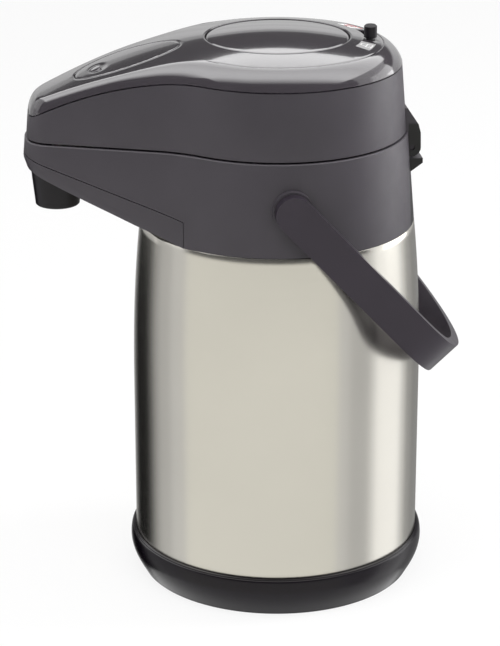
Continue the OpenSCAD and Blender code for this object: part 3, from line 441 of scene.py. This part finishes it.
def plastic(name, colour, rough, grain, grain_scale, spread=0.08, cheeks=None, **more):
    """Moulded plastic: a slow drift of colour by the spread, uneven gloss and a fine grain; given cheeks,
    painted shade darkens the hinge's cheeks.
    """
    m = Mat(name, **more)
    drift = m.noise(scale=28, detail=3, rough=0.5)
    tint = m.tint(drift, shade(colour, 1 - spread), shade(colour, 1 + spread))
    m.colour(paint_cheek_shade(m, tint, cheeks) if cheeks else tint)
    haze = m.noise(scale=90, detail=4, rough=0.6)
    m.roughness(m.remap(haze, 0.3, 0.7, rough * 0.9, rough * 1.1))
    m.bump(m.noise(scale=grain_scale, detail=2, rough=0.5), grain, GRAIN_DEPTH)
    return m.mat


def metal(name, colour, rough, grain, stretch, anisotropic):
    """Steel with fine streaks, which are shortest along the axis that is stretched most."""
    m = Mat(name, metallic=1.0, anisotropic=anisotropic, anisotropic_rotation=0.25)
    tangent = m.node("ShaderNodeTangent", direction_type="RADIAL", axis="Z")
    m.links.new(tangent.outputs["Tangent"], m.bsdf.inputs["Tangent"])
    streak = m.noise(scale=60, detail=5, rough=0.65, stretch=stretch)
    drift = m.noise(scale=9, detail=3, rough=0.5)
    m.colour(m.tint(drift, shade(colour, 0.965), shade(colour, 1.03)))
    m.roughness(m.remap(streak, 0.25, 0.75, rough * 0.86, rough * 1.14))
    m.bump(streak, grain, BRUSH_DEPTH)
    return m.mat


# The cheek colour is painted shade for the hinge's shadowed cheeks, not a colour of the plastic
BODY_GREY, CHEEK_SHADE = srgb(56, 52, 58), srgb(8, 7, 9)
BODY = dict(rough=0.46, grain=0.12, grain_scale=2600)
POLISH = dict(spread=0.03, coat_weight=1.0, coat_roughness=0.05)
PRINT = dict(grain=0.05, grain_scale=1500)
DRAWN = dict(grain=0.04, stretch=(30, 30, 1), anisotropic=0.0)

matte = plastic("moulded_grey", BODY_GREY, **BODY)
# Lid and collar plastic with painted shade on the hinge's cheeks
hinge_shaded = plastic("moulded_grey_hinge_shade", BODY_GREY, cheeks=CHEEK_SHADE, **BODY)
gloss = plastic("polished_grey", srgb(60, 56, 61), rough=0.12, grain=0.006, grain_scale=700, **POLISH)
button_mat = plastic("polished_button", srgb(62, 58, 63), rough=0.1, grain=0.005, grain_scale=600, **POLISH)
strap_mat = plastic("satin_strap", srgb(44, 38, 47), rough=0.34, grain=0.07, grain_scale=1800, spread=0.06,
                    specular_ior_level=0.36)
black = plastic("polished_black", srgb(14, 9, 16), rough=0.2, grain=0.03, grain_scale=900, spread=0.1,
                specular_ior_level=0.3)
knob_mat = plastic("satin_black", srgb(20, 17, 22), rough=0.3, grain=0.06, grain_scale=1500, spread=0.1,
                   specular_ior_level=0.3)
inner_mat = plastic("moulded_black", srgb(38, 37, 39), rough=0.5, grain=0.15, grain_scale=1800, spread=0.1)
milky = plastic("milky_pipe", srgb(214, 212, 204), rough=0.35, grain=0.05, grain_scale=1200, spread=0.03,
                subsurface_weight=0.2)
rubber_mat = plastic("soft_rubber", srgb(196, 190, 182), rough=0.6, grain=0.2, grain_scale=1500, spread=0.06)
bellows_mat = plastic("black_rubber", srgb(44, 43, 44), rough=0.55, grain=0.2, grain_scale=1400)
red = plastic("red_mark", srgb(186, 34, 44), rough=0.35, spread=0.04, **PRINT)
white = plastic("white_mark", srgb(232, 232, 232), rough=0.4, spread=0.02, **PRINT)
pale = plastic("pale_mark", srgb(150, 149, 150), rough=0.4, spread=0.03, **PRINT)

steel = metal("brushed_casing", srgb(216, 213, 205), rough=0.22, grain=0.1, stretch=(1, 1, 60),
              anisotropic=0.5)
vessel_mat = metal("polished_vessel", srgb(214, 214, 212), rough=0.2, grain=0.05, stretch=(1, 1, 30),
                   anisotropic=0.3)
bright = metal("bright_steel", srgb(205, 205, 206), rough=0.16, **DRAWN)
dark_steel = metal("dark_steel", srgb(58, 56, 60), rough=0.3, **DRAWN)

LOOKS = {
    "outer_casing": steel, "casing_bottom": vessel_mat, "inner_vessel": vessel_mat, "vessel_neck": vessel_mat,
    "collar": hinge_shaded, "beak_cover": matte, "lid_shell": hinge_shaded, "lid_base": matte, "handle": strap_mat,
    "top_cover": gloss, "push_button": button_mat, "release_lever": gloss,
    "base_ring": black, "nozzle": knob_mat, "lock_knob": knob_mat,
    "base_plate": inner_mat, "neck_nut": inner_mat, "mouth_insert": inner_mat, "plunger": inner_mat,
    "lock_ring": inner_mat, "dip_tube": milky, "spout_pipe": milky, "bellows": bellows_mat,
    "pipe_seal": rubber_mat, "mouth_gasket": rubber_mat, "plug_seal": rubber_mat, "outlet_valve": rubber_mat,
    "intake_valve": rubber_mat, "base_screws": bright, "lid_screws": bright, "hinge_pin": dark_steel,
    "release_pin": bright, "handle_pins": bright, "return_spring": bright, "release_spring": bright,
}


def dress(name, material):
    """A solid of the part keeps its shape and gets smooth shading, small roundings and a material."""
    obj = NODES[name]
    mesh = obj.data
    attribute = mesh.attributes.get("custom_normal")
    if attribute:
        mesh.attributes.remove(attribute)
    mesh.shade_smooth()
    weld = obj.modifiers.new("weld", "WELD")
    weld.merge_threshold = 4e-6
    if name in ROUNDED:
        round_edges(obj, "rounding", ROUNDED[name], limit=50)
    split = obj.modifiers.new("edges", "EDGE_SPLIT")
    split.split_angle = math.radians(34)
    split.use_edge_sharp = False
    mesh.materials.clear()
    mesh.materials.append(material)


for node, look in LOOKS.items():
    dress(node, look)


# Polished top cover with its button hole, pad opening and lock slot

COVER_FOOT_IN, COVER_EDGE_IN, COVER_EDGE_UP = 2.5, 0.25, 0.3
COVER_STEP, COVER_LOW, COVER_HIGH = 2.2, (-70, -132), (70, 70)
# Room that the mesh's inner points leave round the cover's edge, its openings and the crease
EDGE_ROOM, HOLE_ROOM, PAD_ROOM, SLOT_ROOM, CREASE_ROOM = 0.9, 1.3, 1.8, 1.3, 1.6
HOLE_RING, PAD_RING = 1.2, 1.7
CREASE_RINGS, CREASE_RING_N = (-1.0, -0.5, -0.25, 0, 0.25, 0.5, 1.0), 300
# How far each ring of a rounded lip stands back from its opening, and how far the openings' walls go down
HOLE_LIP, SMALL_LIP, LIP_MID = (0.4, 0.12, 0.0), (0.25, 0.08, 0.0), 0.3
HOLE_SHORT, PAD_WELL = 1, 2


def make_top_cover():
    b = Build()
    head = outline()
    base_y = grow(head, 0)[:, 1]
    z0 = seam_z(base_y)
    g0 = -LID_DRAFT * (z0 - LID_Z0)
    width = roll_at(base_y)
    lean = math.radians(ROLL_LEAN)

    def roll(a):
        """The rounded edge at a degrees; it leaves the seam leaning in a little."""
        phi = math.radians(a)
        p = grow(head, g0 - width * (1 - math.cos(phi) / math.cos(lean)))
        rise = (dome_z(p) - z0) * (math.sin(phi) - math.sin(lean)) / (1 - math.sin(lean))
        return np.column_stack([p, z0 + rise])

    foot_in = np.column_stack([grow(head, g0 - COVER_FOOT_IN), z0])
    foot = np.column_stack([grow(head, g0 - COVER_EDGE_IN), z0])
    edge = np.column_stack([grow(head, g0), z0 + COVER_EDGE_UP])
    b.loft([foot_in, foot, edge] + [roll(a) for a in np.linspace(ROLL_LEAN + ROLL_BEGIN, 90, ROLL_N)])

    def button_hole(g):
        return circle(HOLE_R + g)

    def pad_hole(g):
        return pad_outline(PAD_GAP + g)

    openings = ((button_hole, HOLE_LIP, BUTTON_Z - GUIDE_Z0 - HOLE_SHORT),
                (pad_hole, SMALL_LIP, COVER_T + PAD_WELL), (slot_outline, SMALL_LIP, COVER_T))
    loops = [grow(head, g0 - width)] + [shape(lip[0]) for shape, lip, _ in openings]
    grid = hex_grid(COVER_STEP, COVER_LOW, COVER_HIGH)
    away = np.hypot(*grid.T)
    keep = inside(grow(head, g0 - width - EDGE_ROOM), grid) & (away > HOLE_R + HOLE_ROOM)
    keep &= ~inside(pad_outline(PAD_ROOM), grid) & ~inside(slot_outline(SLOT_ROOM), grid)
    keep &= (np.abs(away - CREASE_R) > CREASE_ROOM) | (grid[:, 1] < -CREASE_END)
    inner = [grid[keep], circle(HOLE_R + HOLE_RING), pad_outline(PAD_RING)]
    for off in CREASE_RINGS:
        ring = circle(CREASE_R + off, CREASE_RING_N)
        inner.append(ring[ring[:, 1] > -CREASE_END])
    b.fill(loops, np.concatenate(inner), cover_z)
    for shape, lip, depth in openings:
        drops = (0, LIP_MID * lip[0], lip[0])
        b.loft([lift(shape(g), drop) for g, drop in zip(lip, drops)] + [lift(shape(0), depth)])
    b.piece("lid_top", gloss, "lid", ["top_cover"], angle=60)


make_top_cover()


# Push button with its low crown

BUTTON_SINK, BUTTON_SKIRT, LAND_GAP, AXIS_R = 0.2, 2, 0.2, 0.01
# The rounded edge as steps in from the button's side and down from its rim
BUTTON_EDGE = 1.4
BUTTON_ROUND = ((0.9, 0.13), (0.45, 0.36), (0.15, 0.75), (0, 1.4))


def make_button():
    b = Build()
    top = BUTTON_Z - BUTTON_SINK
    crown_r = BUTTON_R - BUTTON_EDGE
    land_z = PLUNGER_Z1 + LAND_GAP

    def crown(r, drop=0.0):
        return (r, top + BUTTON_CROWN * (1 - (r / crown_r) ** 2) - drop)

    profile = [crown(max(AXIS_R, crown_r * t / CROWN_N)) for t in range(CROWN_N + 1)]
    profile += [(BUTTON_R - step, top - down) for step, down in BUTTON_ROUND]
    profile += [(BUTTON_R, GUIDE_Z0), (BUTTON_R - BUTTON_SKIRT, GUIDE_Z0)]
    profile += [(BUTTON_R - BUTTON_SKIRT, land_z), (LAND_R, land_z)]
    profile += [crown(max(AXIS_R, LAND_R * t / LAND_N), BUTTON_WALL) for t in range(LAND_N, -1, -1)]
    b.lathe(profile, BUTTON_N)
    b.piece("pump_button", button_mat, "button", ["push_button"], angle=50)


make_button()


# Release pad with its finger dish, its raised dot, its pivot web and its two hooks

PAD_STEP, PAD_MESH_IN = 1.3, 1.1
# The rounded edge of the pad as growth and drop, and the rings of its underside as shares of the outline
PAD_EDGE = ((-0.25, 0.0), (-0.08, 0.08), (0, 0.25))
PAD_UNDER = (1, 0.5, 0.02)
# The dot's foot as shares of its radius and heights over the dish's floor, and the rings of its crown
DOT_FOOT = ((1.1, -0.05), (1.02, 0.08))
DOT_SHOULDER = 0.2
DOT_RINGS = (0.97, 0.9, 0.8, 0.68, 0.55, 0.42, 0.28, 0.15, 0.03)
HOOK_ROUND = 0.5


def make_pad():
    b = Build()
    centre = np.array([0, -(PAD_FRONT + PAD_BACK) / 2])
    rim = pad_outline(0)
    grid = hex_grid(PAD_STEP, (-PAD_HW, -PAD_FRONT), (PAD_HW, -PAD_BACK))
    b.fill([pad_outline(PAD_EDGE[0][0])], grid[inside(pad_outline(-PAD_MESH_IN), grid)], pad_z)
    rings = [lift(pad_outline(g), drop) for g, drop in PAD_EDGE]
    rings += [lift(centre + (rim - centre) * k, PAD_T) for k in PAD_UNDER]
    rows = b.loft(rings)
    b.cap(rows[-1], True)
    b.piece("release_pad", gloss, "release", ["release_lever"], angle=60)

    b = Build()
    a = 2 * np.pi * np.arange(DOT_N) / DOT_N

    def dot_ring(k, up):
        return lift(np.stack([k * DOT_R * np.cos(a), -DOT_AT + k * DOT_R * np.sin(a)], 1), -up)

    rings = [dot_ring(k, -DISH_DEPTH + up) for k, up in DOT_FOOT]
    rings.append(dot_ring(1.0, DOT_MID - DOT_SHOULDER + DOT_TILT * DOT_R * np.sin(a)))
    for k in DOT_RINGS:
        rings.append(dot_ring(k, DOT_MID + DOT_TILT * k * DOT_R * np.sin(a) + DOT_CROWN * (1 - k * k)))
    rows = b.loft(rings)
    b.cap(rows[-1])
    b.piece("release_dot", gloss, "release", (), angle=70)

    b = Build()

    def under_pad(x, y):
        return float(dome_z(np.array([x, y]))) - PAD_T / 2

    for s in (-1, 1):
        x0, x1 = sorted((s * HOOK_X, s * (HOOK_X + HOOK_W)))
        y0, y1 = -HOOK_AT - HOOK_T / 2, -HOOK_AT + HOOK_T / 2
        b.box((x0, y0, HOOK_Z0), (x1, y1, under_pad(HOOK_X + HOOK_W, y0)))
    y0, y1 = -PAD_PIVOT - PAD_WEB_HT, -PAD_PIVOT + PAD_WEB_HT
    b.box((-PAD_WEB, y0, PAD_PIN_Z), (PAD_WEB, y1, under_pad(PAD_WEB, y0)))
    b.piece("release_hooks", matte, "release", (), bevel=HOOK_ROUND)


make_pad()


# Bellows and springs, each on a mesh of its own; on the flask they shorten as the button or the pad goes down

def make_pump():
    b = Build()
    steps = FOLD_N * BELLOWS_N
    outer = []
    for i in range(steps + 1):
        wave = (1 - math.cos(2 * math.pi * BELLOWS_N * i / steps)) / 2
        outer.append((BELLOWS_R - BELLOWS_FOLD * (1 - wave), PUMP_Z0 + (PUMP_Z1 - PUMP_Z0) * i / steps))
    b.lathe(outer + [(r - BELLOWS_T, z) for r, z in reversed(outer)], BELLOWS_ROUND_N, closed=True)
    skin = b.piece("bellows_skin", bellows_mat, "lid", ["bellows"], angle=60)
    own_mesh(skin)

    b = Build()
    b.coil(SPRING_R, SPRING_WIRE, PUMP_Z0, PUMP_Z1, SPRING_TURNS)
    spring = b.piece("return_coil", bright, "lid", ["return_spring"], angle=60)
    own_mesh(spring)

    b = Build()
    top = float(dome_z(np.array([CATCH_R, -DOT_AT - CATCH_REACH]))) - PAD_T - CATCH_GAP
    b.coil(CATCH_R, CATCH_WIRE, PUMP_Z0, top, CATCH_TURNS, y=-DOT_AT)
    catch = b.piece("release_coil", bright, "lid", ["release_spring"], angle=60)
    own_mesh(catch)


make_pump()


# Steel casing and base ring as fine turned forms

STRAIGHT_N, TAPER_N, SHOULDER_N, FLARE_N, BULGE_N = 14, 28, 12, 16, 10
# The rounded edge of the casing's ledge as steps in from its radius and down from its top
LEDGE_EDGE = 0.6
LEDGE_ROUND = ((0.25, 0.12), (0.8, 0))
# The foot's rounded edge as steps in and heights
FOOT_ROUND = ((0.8, 0.0), (0.3, 0.15), (0, 0.8))
# The base's lip: the share of a quarter turn that it bulges, its groove as steps out and up from there, and
# the two edges of its top as steps out and down
LIP_W, LIP_BULGE = 1, 0.62
LIP_GROOVE = ((0.45, 0.25), (0.38, 0.55), (0.5, 0.8))
LIP_TOP, LIP_INNER = ((0.3, 0.2), (-0.1, 0)), ((0.1, 0), (0, 0.3))


def make_casing():
    b = Build()

    def radius(z):
        t = max(0.0, z - CASING_STRAIGHT) / (LEDGE_Z - CASING_STRAIGHT)
        return CASING_R - (CASING_R - COLLAR_LOW_R) * t ** CASING_POW

    profile = [(CASING_R, z) for z in np.linspace(CASING_Z0, CASING_STRAIGHT, STRAIGHT_N)]
    profile += [(radius(z), z) for z in np.linspace(CASING_STRAIGHT, LEDGE_Z - LEDGE_EDGE, TAPER_N)[1:]]
    profile += [(COLLAR_LOW_R - step, LEDGE_Z - down) for step, down in LEDGE_ROUND]
    profile.append((INSET_R, LEDGE_Z))
    flat_r = NECK_R + SHOULDER_FLAT
    shoulder_z = LEDGE_Z + SHOULDER_RISE
    for i in range(SHOULDER_N + 1):
        a = math.radians(90 * i / SHOULDER_N)
        r = flat_r + (INSET_R - flat_r) * math.cos(a)
        profile.append((r, shoulder_z + (SHOULDER_Z - shoulder_z) * math.sin(a)))
    profile += [(NECK_R, SHOULDER_Z), (NECK_R, MOUTH_Z)]
    profile += [(r - SHEET_T, z) for r, z in reversed(profile)]
    b.lathe(profile, TURNED_N, closed=True)
    b.piece("steel_casing", steel, "flask", ["outer_casing"], angle=40)


def make_base():
    b = Build()
    lip = BASE_IN + LIP_W
    foot_z = FOOT_ROUND[-1][1]
    profile = [(FOOT_R - FOOT_W, 0.0)] + [(FOOT_R - step, z) for step, z in FOOT_ROUND]
    for t in np.linspace(0, 1, FLARE_N)[1:]:
        flare = (BASE_R - FOOT_R) * math.sin(math.pi / 2 * t)
        profile.append((FOOT_R + flare, foot_z + (BASE_WIDE - foot_z) * t))
    for a in math.pi / 2 * np.linspace(0, LIP_BULGE, BULGE_N)[1:]:
        profile.append((lip + (BASE_R - lip) * math.cos(a), BASE_WIDE + (BASE_H - BASE_WIDE) * math.sin(a)))
    z = profile[-1][1]
    profile += [(lip + step, z + up) for step, up in LIP_GROOVE]
    profile += [(lip + step, BASE_H - down) for step, down in LIP_TOP]
    profile += [(BASE_IN + step, BASE_H - down) for step, down in LIP_INNER]
    profile.append((BASE_IN, BASE_FLANGE_Z))
    under_z = BASE_FLANGE_Z - BASE_FLANGE_T
    profile += [(BASE_FLANGE_IN, BASE_FLANGE_Z), (BASE_FLANGE_IN, under_z), (FOOT_R - FOOT_W, under_z)]
    b.lathe(profile, TURNED_N, closed=True)
    b.piece("base_shoe", black, "flask", ["base_ring"], angle=40)


make_casing()
make_base()


# Carrying handle: a strap with rounded edges along the bowed line

STRAP_ROUND = 1.1
END_FROM, END_N, ARM_N, BEND_N, BOW_N = 3, 16, 14, 16, 18
# The strap's section: which face, and how far across the strap from -1 to 1
STRAP_SECTION = ((1, -1), (1, 0), (1, 1), (-1, 1), (-1, 0), (-1, -1))


def make_handle():
    b = Build()
    mid = (ARM_X0 + ARM_X1) / 2
    half_t = (ARM_X1 - ARM_X0) / 2
    half_w = STRAP_W / 2
    bow_r, bend_r = BOW_R - half_t, BEND_R - half_t
    c = REACH - half_t - bow_r
    x = mid - bend_r
    y = c + math.sqrt((bow_r - bend_r) ** 2 - x * x)
    turn = math.atan2(y - c, x)

    # Stations along the middle line: x, distance from the pivot, the outward direction and half the width
    right = []
    for t in np.radians(np.linspace(END_FROM, 90, END_N)):
        s = -half_w * math.cos(t)
        right.append((mid, s, 1.0, 0.0, math.sqrt(half_w ** 2 - s * s)))
    right += [(mid, s, 1.0, 0.0, half_w) for s in np.linspace(0, y, ARM_N)[1:]]
    for cx, cy, r, a0, a1, n in ((x, y, bend_r, 0, turn, BEND_N), (0, c, bow_r, turn, math.pi / 2, BOW_N)):
        right += [(cx + r * math.cos(t), cy + r * math.sin(t), math.cos(t), math.sin(t), half_w)
                  for t in np.linspace(a0, a1, n)[1:]]
    left = [(-px, s, -nx, ny, hw) for px, s, nx, ny, hw in reversed(right[:-1])]
    cos, sin = math.cos(HANDLE_REST), math.sin(HANDLE_REST)

    def place(px, s, w):
        return (px, PIVOT_Y + s * cos + w * sin, PIVOT_Z - s * sin + w * cos)

    rings = []
    for px, s, nx, ny, hw in right + left:
        rings.append([place(px + side * half_t * nx, s + side * half_t * ny, w * hw)
                      for side, w in STRAP_SECTION])
    rows = b.loft(rings)
    b.cap(rows[0])
    b.cap(rows[-1], True)
    b.piece("carry_strap", strap_mat, "handle", ["handle"], angle=45, bevel=STRAP_ROUND)


make_handle()


# Marks at the two ends of the lock slot: pale patches with a simple padlock, the far one edged in red

PATCH_R0, PATCH_R1, RED_EDGE, GLYPH_R = 44.0, 51.7, 1.0, 47.9
PATCH_UP, GLYPH_UP, PATCH_N, GLYPH_N = 0.05, 0.1, 16, 6
# Strips of the padlock, outwards and across: its body's frame, its keyhole and its shackle
PADLOCK = (
    (2.6, 3.2, -3.0, 3.0), (0.0, 0.6, -3.0, 3.0), (0.0, 3.2, -3.0, -2.4), (0.0, 3.2, 2.4, 3.0),
    (1.2, 2.0, -0.5, 0.5),
    (-2.4, 0.0, -2.0, -1.4), (-2.4, 0.0, 1.4, 2.0), (-3.0, -2.4, -1.6, 1.6),
)
MARKS = (("shut", 58.3, 73.3, pale, white), ("open", 111.5, 127.0, white, red))


def strip(b, r0, r1, a0, a1, up, n=PATCH_N):
    """A flat strip on the dome between two radii and two angles in degrees."""
    a = np.radians(np.linspace(a0, a1, n))
    b.loft([lift(np.stack([r * np.cos(a), r * np.sin(a)], 1), -up) for r in (r0, r1)], loop=False)


def make_marks():
    d = math.degrees(1 / GLYPH_R)
    for name, a0, a1, ground, ink in MARKS:
        b = Build()
        strip(b, PATCH_R0, PATCH_R1, a0, a1, PATCH_UP)
        b.piece("lock_patch_" + name, ground, "lid", ())
        b = Build()
        mid = (a0 + a1) / 2
        for low, high, start, end in PADLOCK:
            strip(b, GLYPH_R + low, GLYPH_R + high, mid + start * d, mid + end * d, GLYPH_UP, GLYPH_N)
        if ink is red:
            strip(b, PATCH_R1 - RED_EDGE, PATCH_R1, a0, a1, GLYPH_UP)
        b.piece("lock_glyph_" + name, ink, "lid", ())


make_marks()


# Stage, light and camera, in metres

YAW, PITCH = math.radians(6.9), math.radians(20.23)
EYE_AWAY, EYE_RIGHT, EYE_Z = 1.303, -0.0143, 0.6184
SENSOR, LENS, CLIP_NEAR, CLIP_FAR = 36.0, 142.72, 0.05, 50
WHITE = (1, 1, 1, 1)
WORLD_LIGHT = 0.45
FLOOR_HALF, FLOOR_GREY, FLOOR_ROUGH, FLOOR_SPECULAR, FLOOR_WHITE = 6, 0.93, 0.7, 0.1, 0.85

# Lamps: name, place, target, size and power
LAMPS = (
    ("top_box", (0.3, -0.2, 1.5), (0, 0, 0.2), (1.2, 1.2), 12),
    ("left_box", (0.9, -1.5, 0.9), (0, 0, 0.15), (0.8, 1.4), 7),
    ("front_box", (1.5, 0.7, 0.9), (0, 0, 0.2), (0.8, 0.8), 5),
    ("right_box", (-0.1, 1.7, 0.6), (0, 0, 0.15), (0.6, 1.2), 30),
)

# The ceiling's distances towards the camera with the brightness at each, and the strips that it is cut into
SKY = ((-2.0, -0.6, 0.1, 0.55, 0.95, 1.4), (2.6, 3.0, 4.2, 4.2, 2.2, 0.0))
SKY_Z, SKY_HALF, SKY_X0, SKY_X1, SKY_N = 2.0, 2.4, -2.96, 1.4, 44
# Walls behind the flask: name, lowest and highest point, brightness
WALL_X, WALL_HALF = -3.2, 3.6
WALLS = (("dark_back", 1.15, 2.35, 0.08), ("dark_foot", 1.0, 1.15, 0.5))
# Curved cards: name, first and last angle, brightness, distance, lowest and highest point
CURVED = (
    ("dark_front", -80, 80, 0.08, 4.0, 0.4, 6.2),
    ("side_glow_low", 97, 130, 3.5, 5.0, -0.4, 0.9),
    ("side_glow_high", 97, 132, 2.0, 5.0, 0.9, 2.2),
)
# The far backdrop's strips: first and last angle, brightness; those behind the flask end under the back cards
FAR_R, FAR_Z0, FAR_Z1, CARD_STEP = 6.0, -4.5, 0.9, 6
STRIPS = (
    (-180, -170, 1.2), (-170, -160, 0.45), (-160, -152, 0.12), (-152, -125, 0.0), (-125, -119, 0.1),
    (-119, -114, 0.3), (-114, -109, 0.45), (-109, -94, 0.58), (-94, -78, 0.72), (50, 60, 0.74),
    (60, 80, 0.62), (80, 86, 0.9), (86, 118, 1.28), (118, 127, 0.75), (127, 140, 0.38), (140, 180, 0.28),
)
WARM_FROM, WARM_TO, WARM = -78, 50, (0.90, 0.89, 0.84)
# Cards behind the flask, on both sides: name, lowest and highest point, brightness
BACK_R, BACK_FROM, BACK_TO, BACK_Z0, BEHIND = 5.9, 118, 180, -0.9, 115
BACKS = (("low", BACK_Z0, 0.5, 0.55), ("mid", 0.5, 1.1, 0.65), ("high", 1.1, 1.75, 0.75))


def facing(x, y, z):
    """A point given as distance towards the camera, distance to its right and height."""
    return (x * math.cos(YAW) + y * math.sin(YAW), y * math.cos(YAW) - x * math.sin(YAW), z)


def grey(v):
    return (v, v, v)


def show_white(tree, lit, white_shader, output, share):
    """Camera, glossy and transmission rays get a share of white; the others get the lit shader."""
    path = tree.nodes.new("ShaderNodeLightPath")
    seen = path.outputs["Is Camera Ray"]
    for name in ("Is Glossy Ray", "Is Transmission Ray"):
        seen = maths(tree, "MAXIMUM", seen, path.outputs[name])
    mix = tree.nodes.new("ShaderNodeMixShader")
    tree.links.new(maths(tree, "MULTIPLY", seen, share), mix.inputs[0])
    tree.links.new(lit.outputs[0], mix.inputs[1])
    tree.links.new(white_shader.outputs[0], mix.inputs[2])
    tree.links.new(mix.outputs[0], output.inputs["Surface"])


def make_world():
    world = bpy.data.worlds.new("studio")
    bpy.context.scene.world = world
    world.use_nodes = True
    tree = world.node_tree
    lit = tree.nodes["Background"]
    plain = tree.nodes.new("ShaderNodeBackground")
    for background, strength in ((lit, WORLD_LIGHT), (plain, 1.0)):
        background.inputs["Color"].default_value = WHITE
        background.inputs["Strength"].default_value = strength
    show_white(tree, lit, plain, tree.nodes["World Output"], 1.0)


def make_floor():
    s = FLOOR_HALF
    mesh = bpy.data.meshes.new("floor")
    mesh.from_pydata([(-s, -s, 0), (s, -s, 0), (s, s, 0), (-s, s, 0)], [], [(0, 1, 2, 3)])
    floor = add_object("floor", mesh)
    mat = bpy.data.materials.new("floor_white")
    mat.use_nodes = True
    tree = mat.node_tree
    bsdf = tree.nodes["Principled BSDF"]
    bsdf.inputs["Base Color"].default_value = (*grey(FLOOR_GREY), 1)
    bsdf.inputs["Roughness"].default_value = FLOOR_ROUGH
    bsdf.inputs["Specular IOR Level"].default_value = FLOOR_SPECULAR
    glow = tree.nodes.new("ShaderNodeEmission")
    glow.inputs["Color"].default_value = WHITE
    glow.inputs["Strength"].default_value = 1.0
    show_white(tree, bsdf, glow, tree.nodes["Material Output"], FLOOR_WHITE)
    mesh.materials.append(mat)
    floor.visible_glossy = False


def card(name, quads, colour):
    """A plain studio card that shows only in reflections."""
    mesh = bpy.data.meshes.new(name)
    points = [facing(*p) for quad in quads for p in quad]
    mesh.from_pydata(points, [], [tuple(range(4 * i, 4 * i + 4)) for i in range(len(quads))])
    obj = add_object(name, mesh)
    mat = bpy.data.materials.new(name)
    mat.use_nodes = True
    tree = mat.node_tree
    glow = tree.nodes.new("ShaderNodeEmission")
    glow.inputs["Color"].default_value = (*colour, 1)
    tree.links.new(glow.outputs[0], tree.nodes["Material Output"].inputs["Surface"])
    mesh.materials.append(mat)
    for ray in ("camera", "diffuse", "shadow", "transmission", "volume_scatter"):
        setattr(obj, "visible_" + ray, False)


def backdrop(name, a0, a1, colour, r=FAR_R, z0=FAR_Z0, z1=FAR_Z1):
    """An upright curved card between two angles in degrees, counted from the camera's side to its right."""
    steps = max(1, round((a1 - a0) / CARD_STEP))
    at = [math.radians(a0 + (a1 - a0) * i / steps) for i in range(steps + 1)]
    foot = [(r * math.cos(t), r * math.sin(t), z0) for t in at]
    head = [(x, y, z1) for x, y, _ in foot]
    card(name, [[foot[i], foot[i + 1], head[i + 1], head[i]] for i in range(steps)], colour)


def make_cards():
    cuts = np.linspace(SKY_X0, SKY_X1, SKY_N + 1)
    for i, (x0, x1) in enumerate(zip(cuts[:-1], cuts[1:])):
        corners = ((x0, -SKY_HALF), (x1, -SKY_HALF), (x1, SKY_HALF), (x0, SKY_HALF))
        card("sky_%d" % i, [[(x, y, SKY_Z) for x, y in corners]], grey(np.interp((x0 + x1) / 2, *SKY)))
    for name, z0, z1, v in WALLS:
        corners = ((-WALL_HALF, z0), (WALL_HALF, z0), (WALL_HALF, z1), (-WALL_HALF, z1))
        card(name, [[(WALL_X, y, z) for y, z in corners]], grey(v))
    for name, a0, a1, v, r, z0, z1 in CURVED:
        backdrop(name, a0, a1, grey(v), r, z0, z1)
    for i, (a0, a1, v) in enumerate(STRIPS):
        behind = abs(a0 + a1) / 2 > BEHIND
        backdrop("backdrop_%d" % i, a0, a1, grey(v), z1=BACK_Z0 if behind else FAR_Z1)
    backdrop("backdrop_warm", WARM_FROM, WARM_TO, WARM)
    for name, z0, z1, v in BACKS:
        backdrop("back_right_" + name, BACK_FROM, BACK_TO, grey(v), BACK_R, z0, z1)
        backdrop("back_left_" + name, -BACK_TO, -BACK_FROM, grey(v), BACK_R, z0, z1)


def make_lamps():
    for name, place, target, size, power in LAMPS:
        light = bpy.data.lights.new(name, "AREA")
        light.shape = "RECTANGLE"
        light.size, light.size_y = size
        light.energy = power
        lamp = add_object(name, light)
        lamp.location = place
        lamp.rotation_euler = (Vector(target) - Vector(place)).to_track_quat("-Z", "Y").to_euler()
        lamp.visible_glossy = False


def make_camera():
    camera = bpy.data.cameras.new("camera")
    camera.sensor_width = SENSOR
    camera.lens = LENS
    camera.clip_start, camera.clip_end = CLIP_NEAR, CLIP_FAR
    eye = add_object("camera", camera)
    eye.location = facing(EYE_AWAY, EYE_RIGHT, EYE_Z)
    eye.rotation_euler = (math.pi / 2 - PITCH, 0, math.pi / 2 - YAW)
    bpy.context.scene.camera = eye


make_world()
make_floor()
make_cards()
make_lamps()
make_camera()
bpy.context.scene.view_settings.view_transform = "Standard"
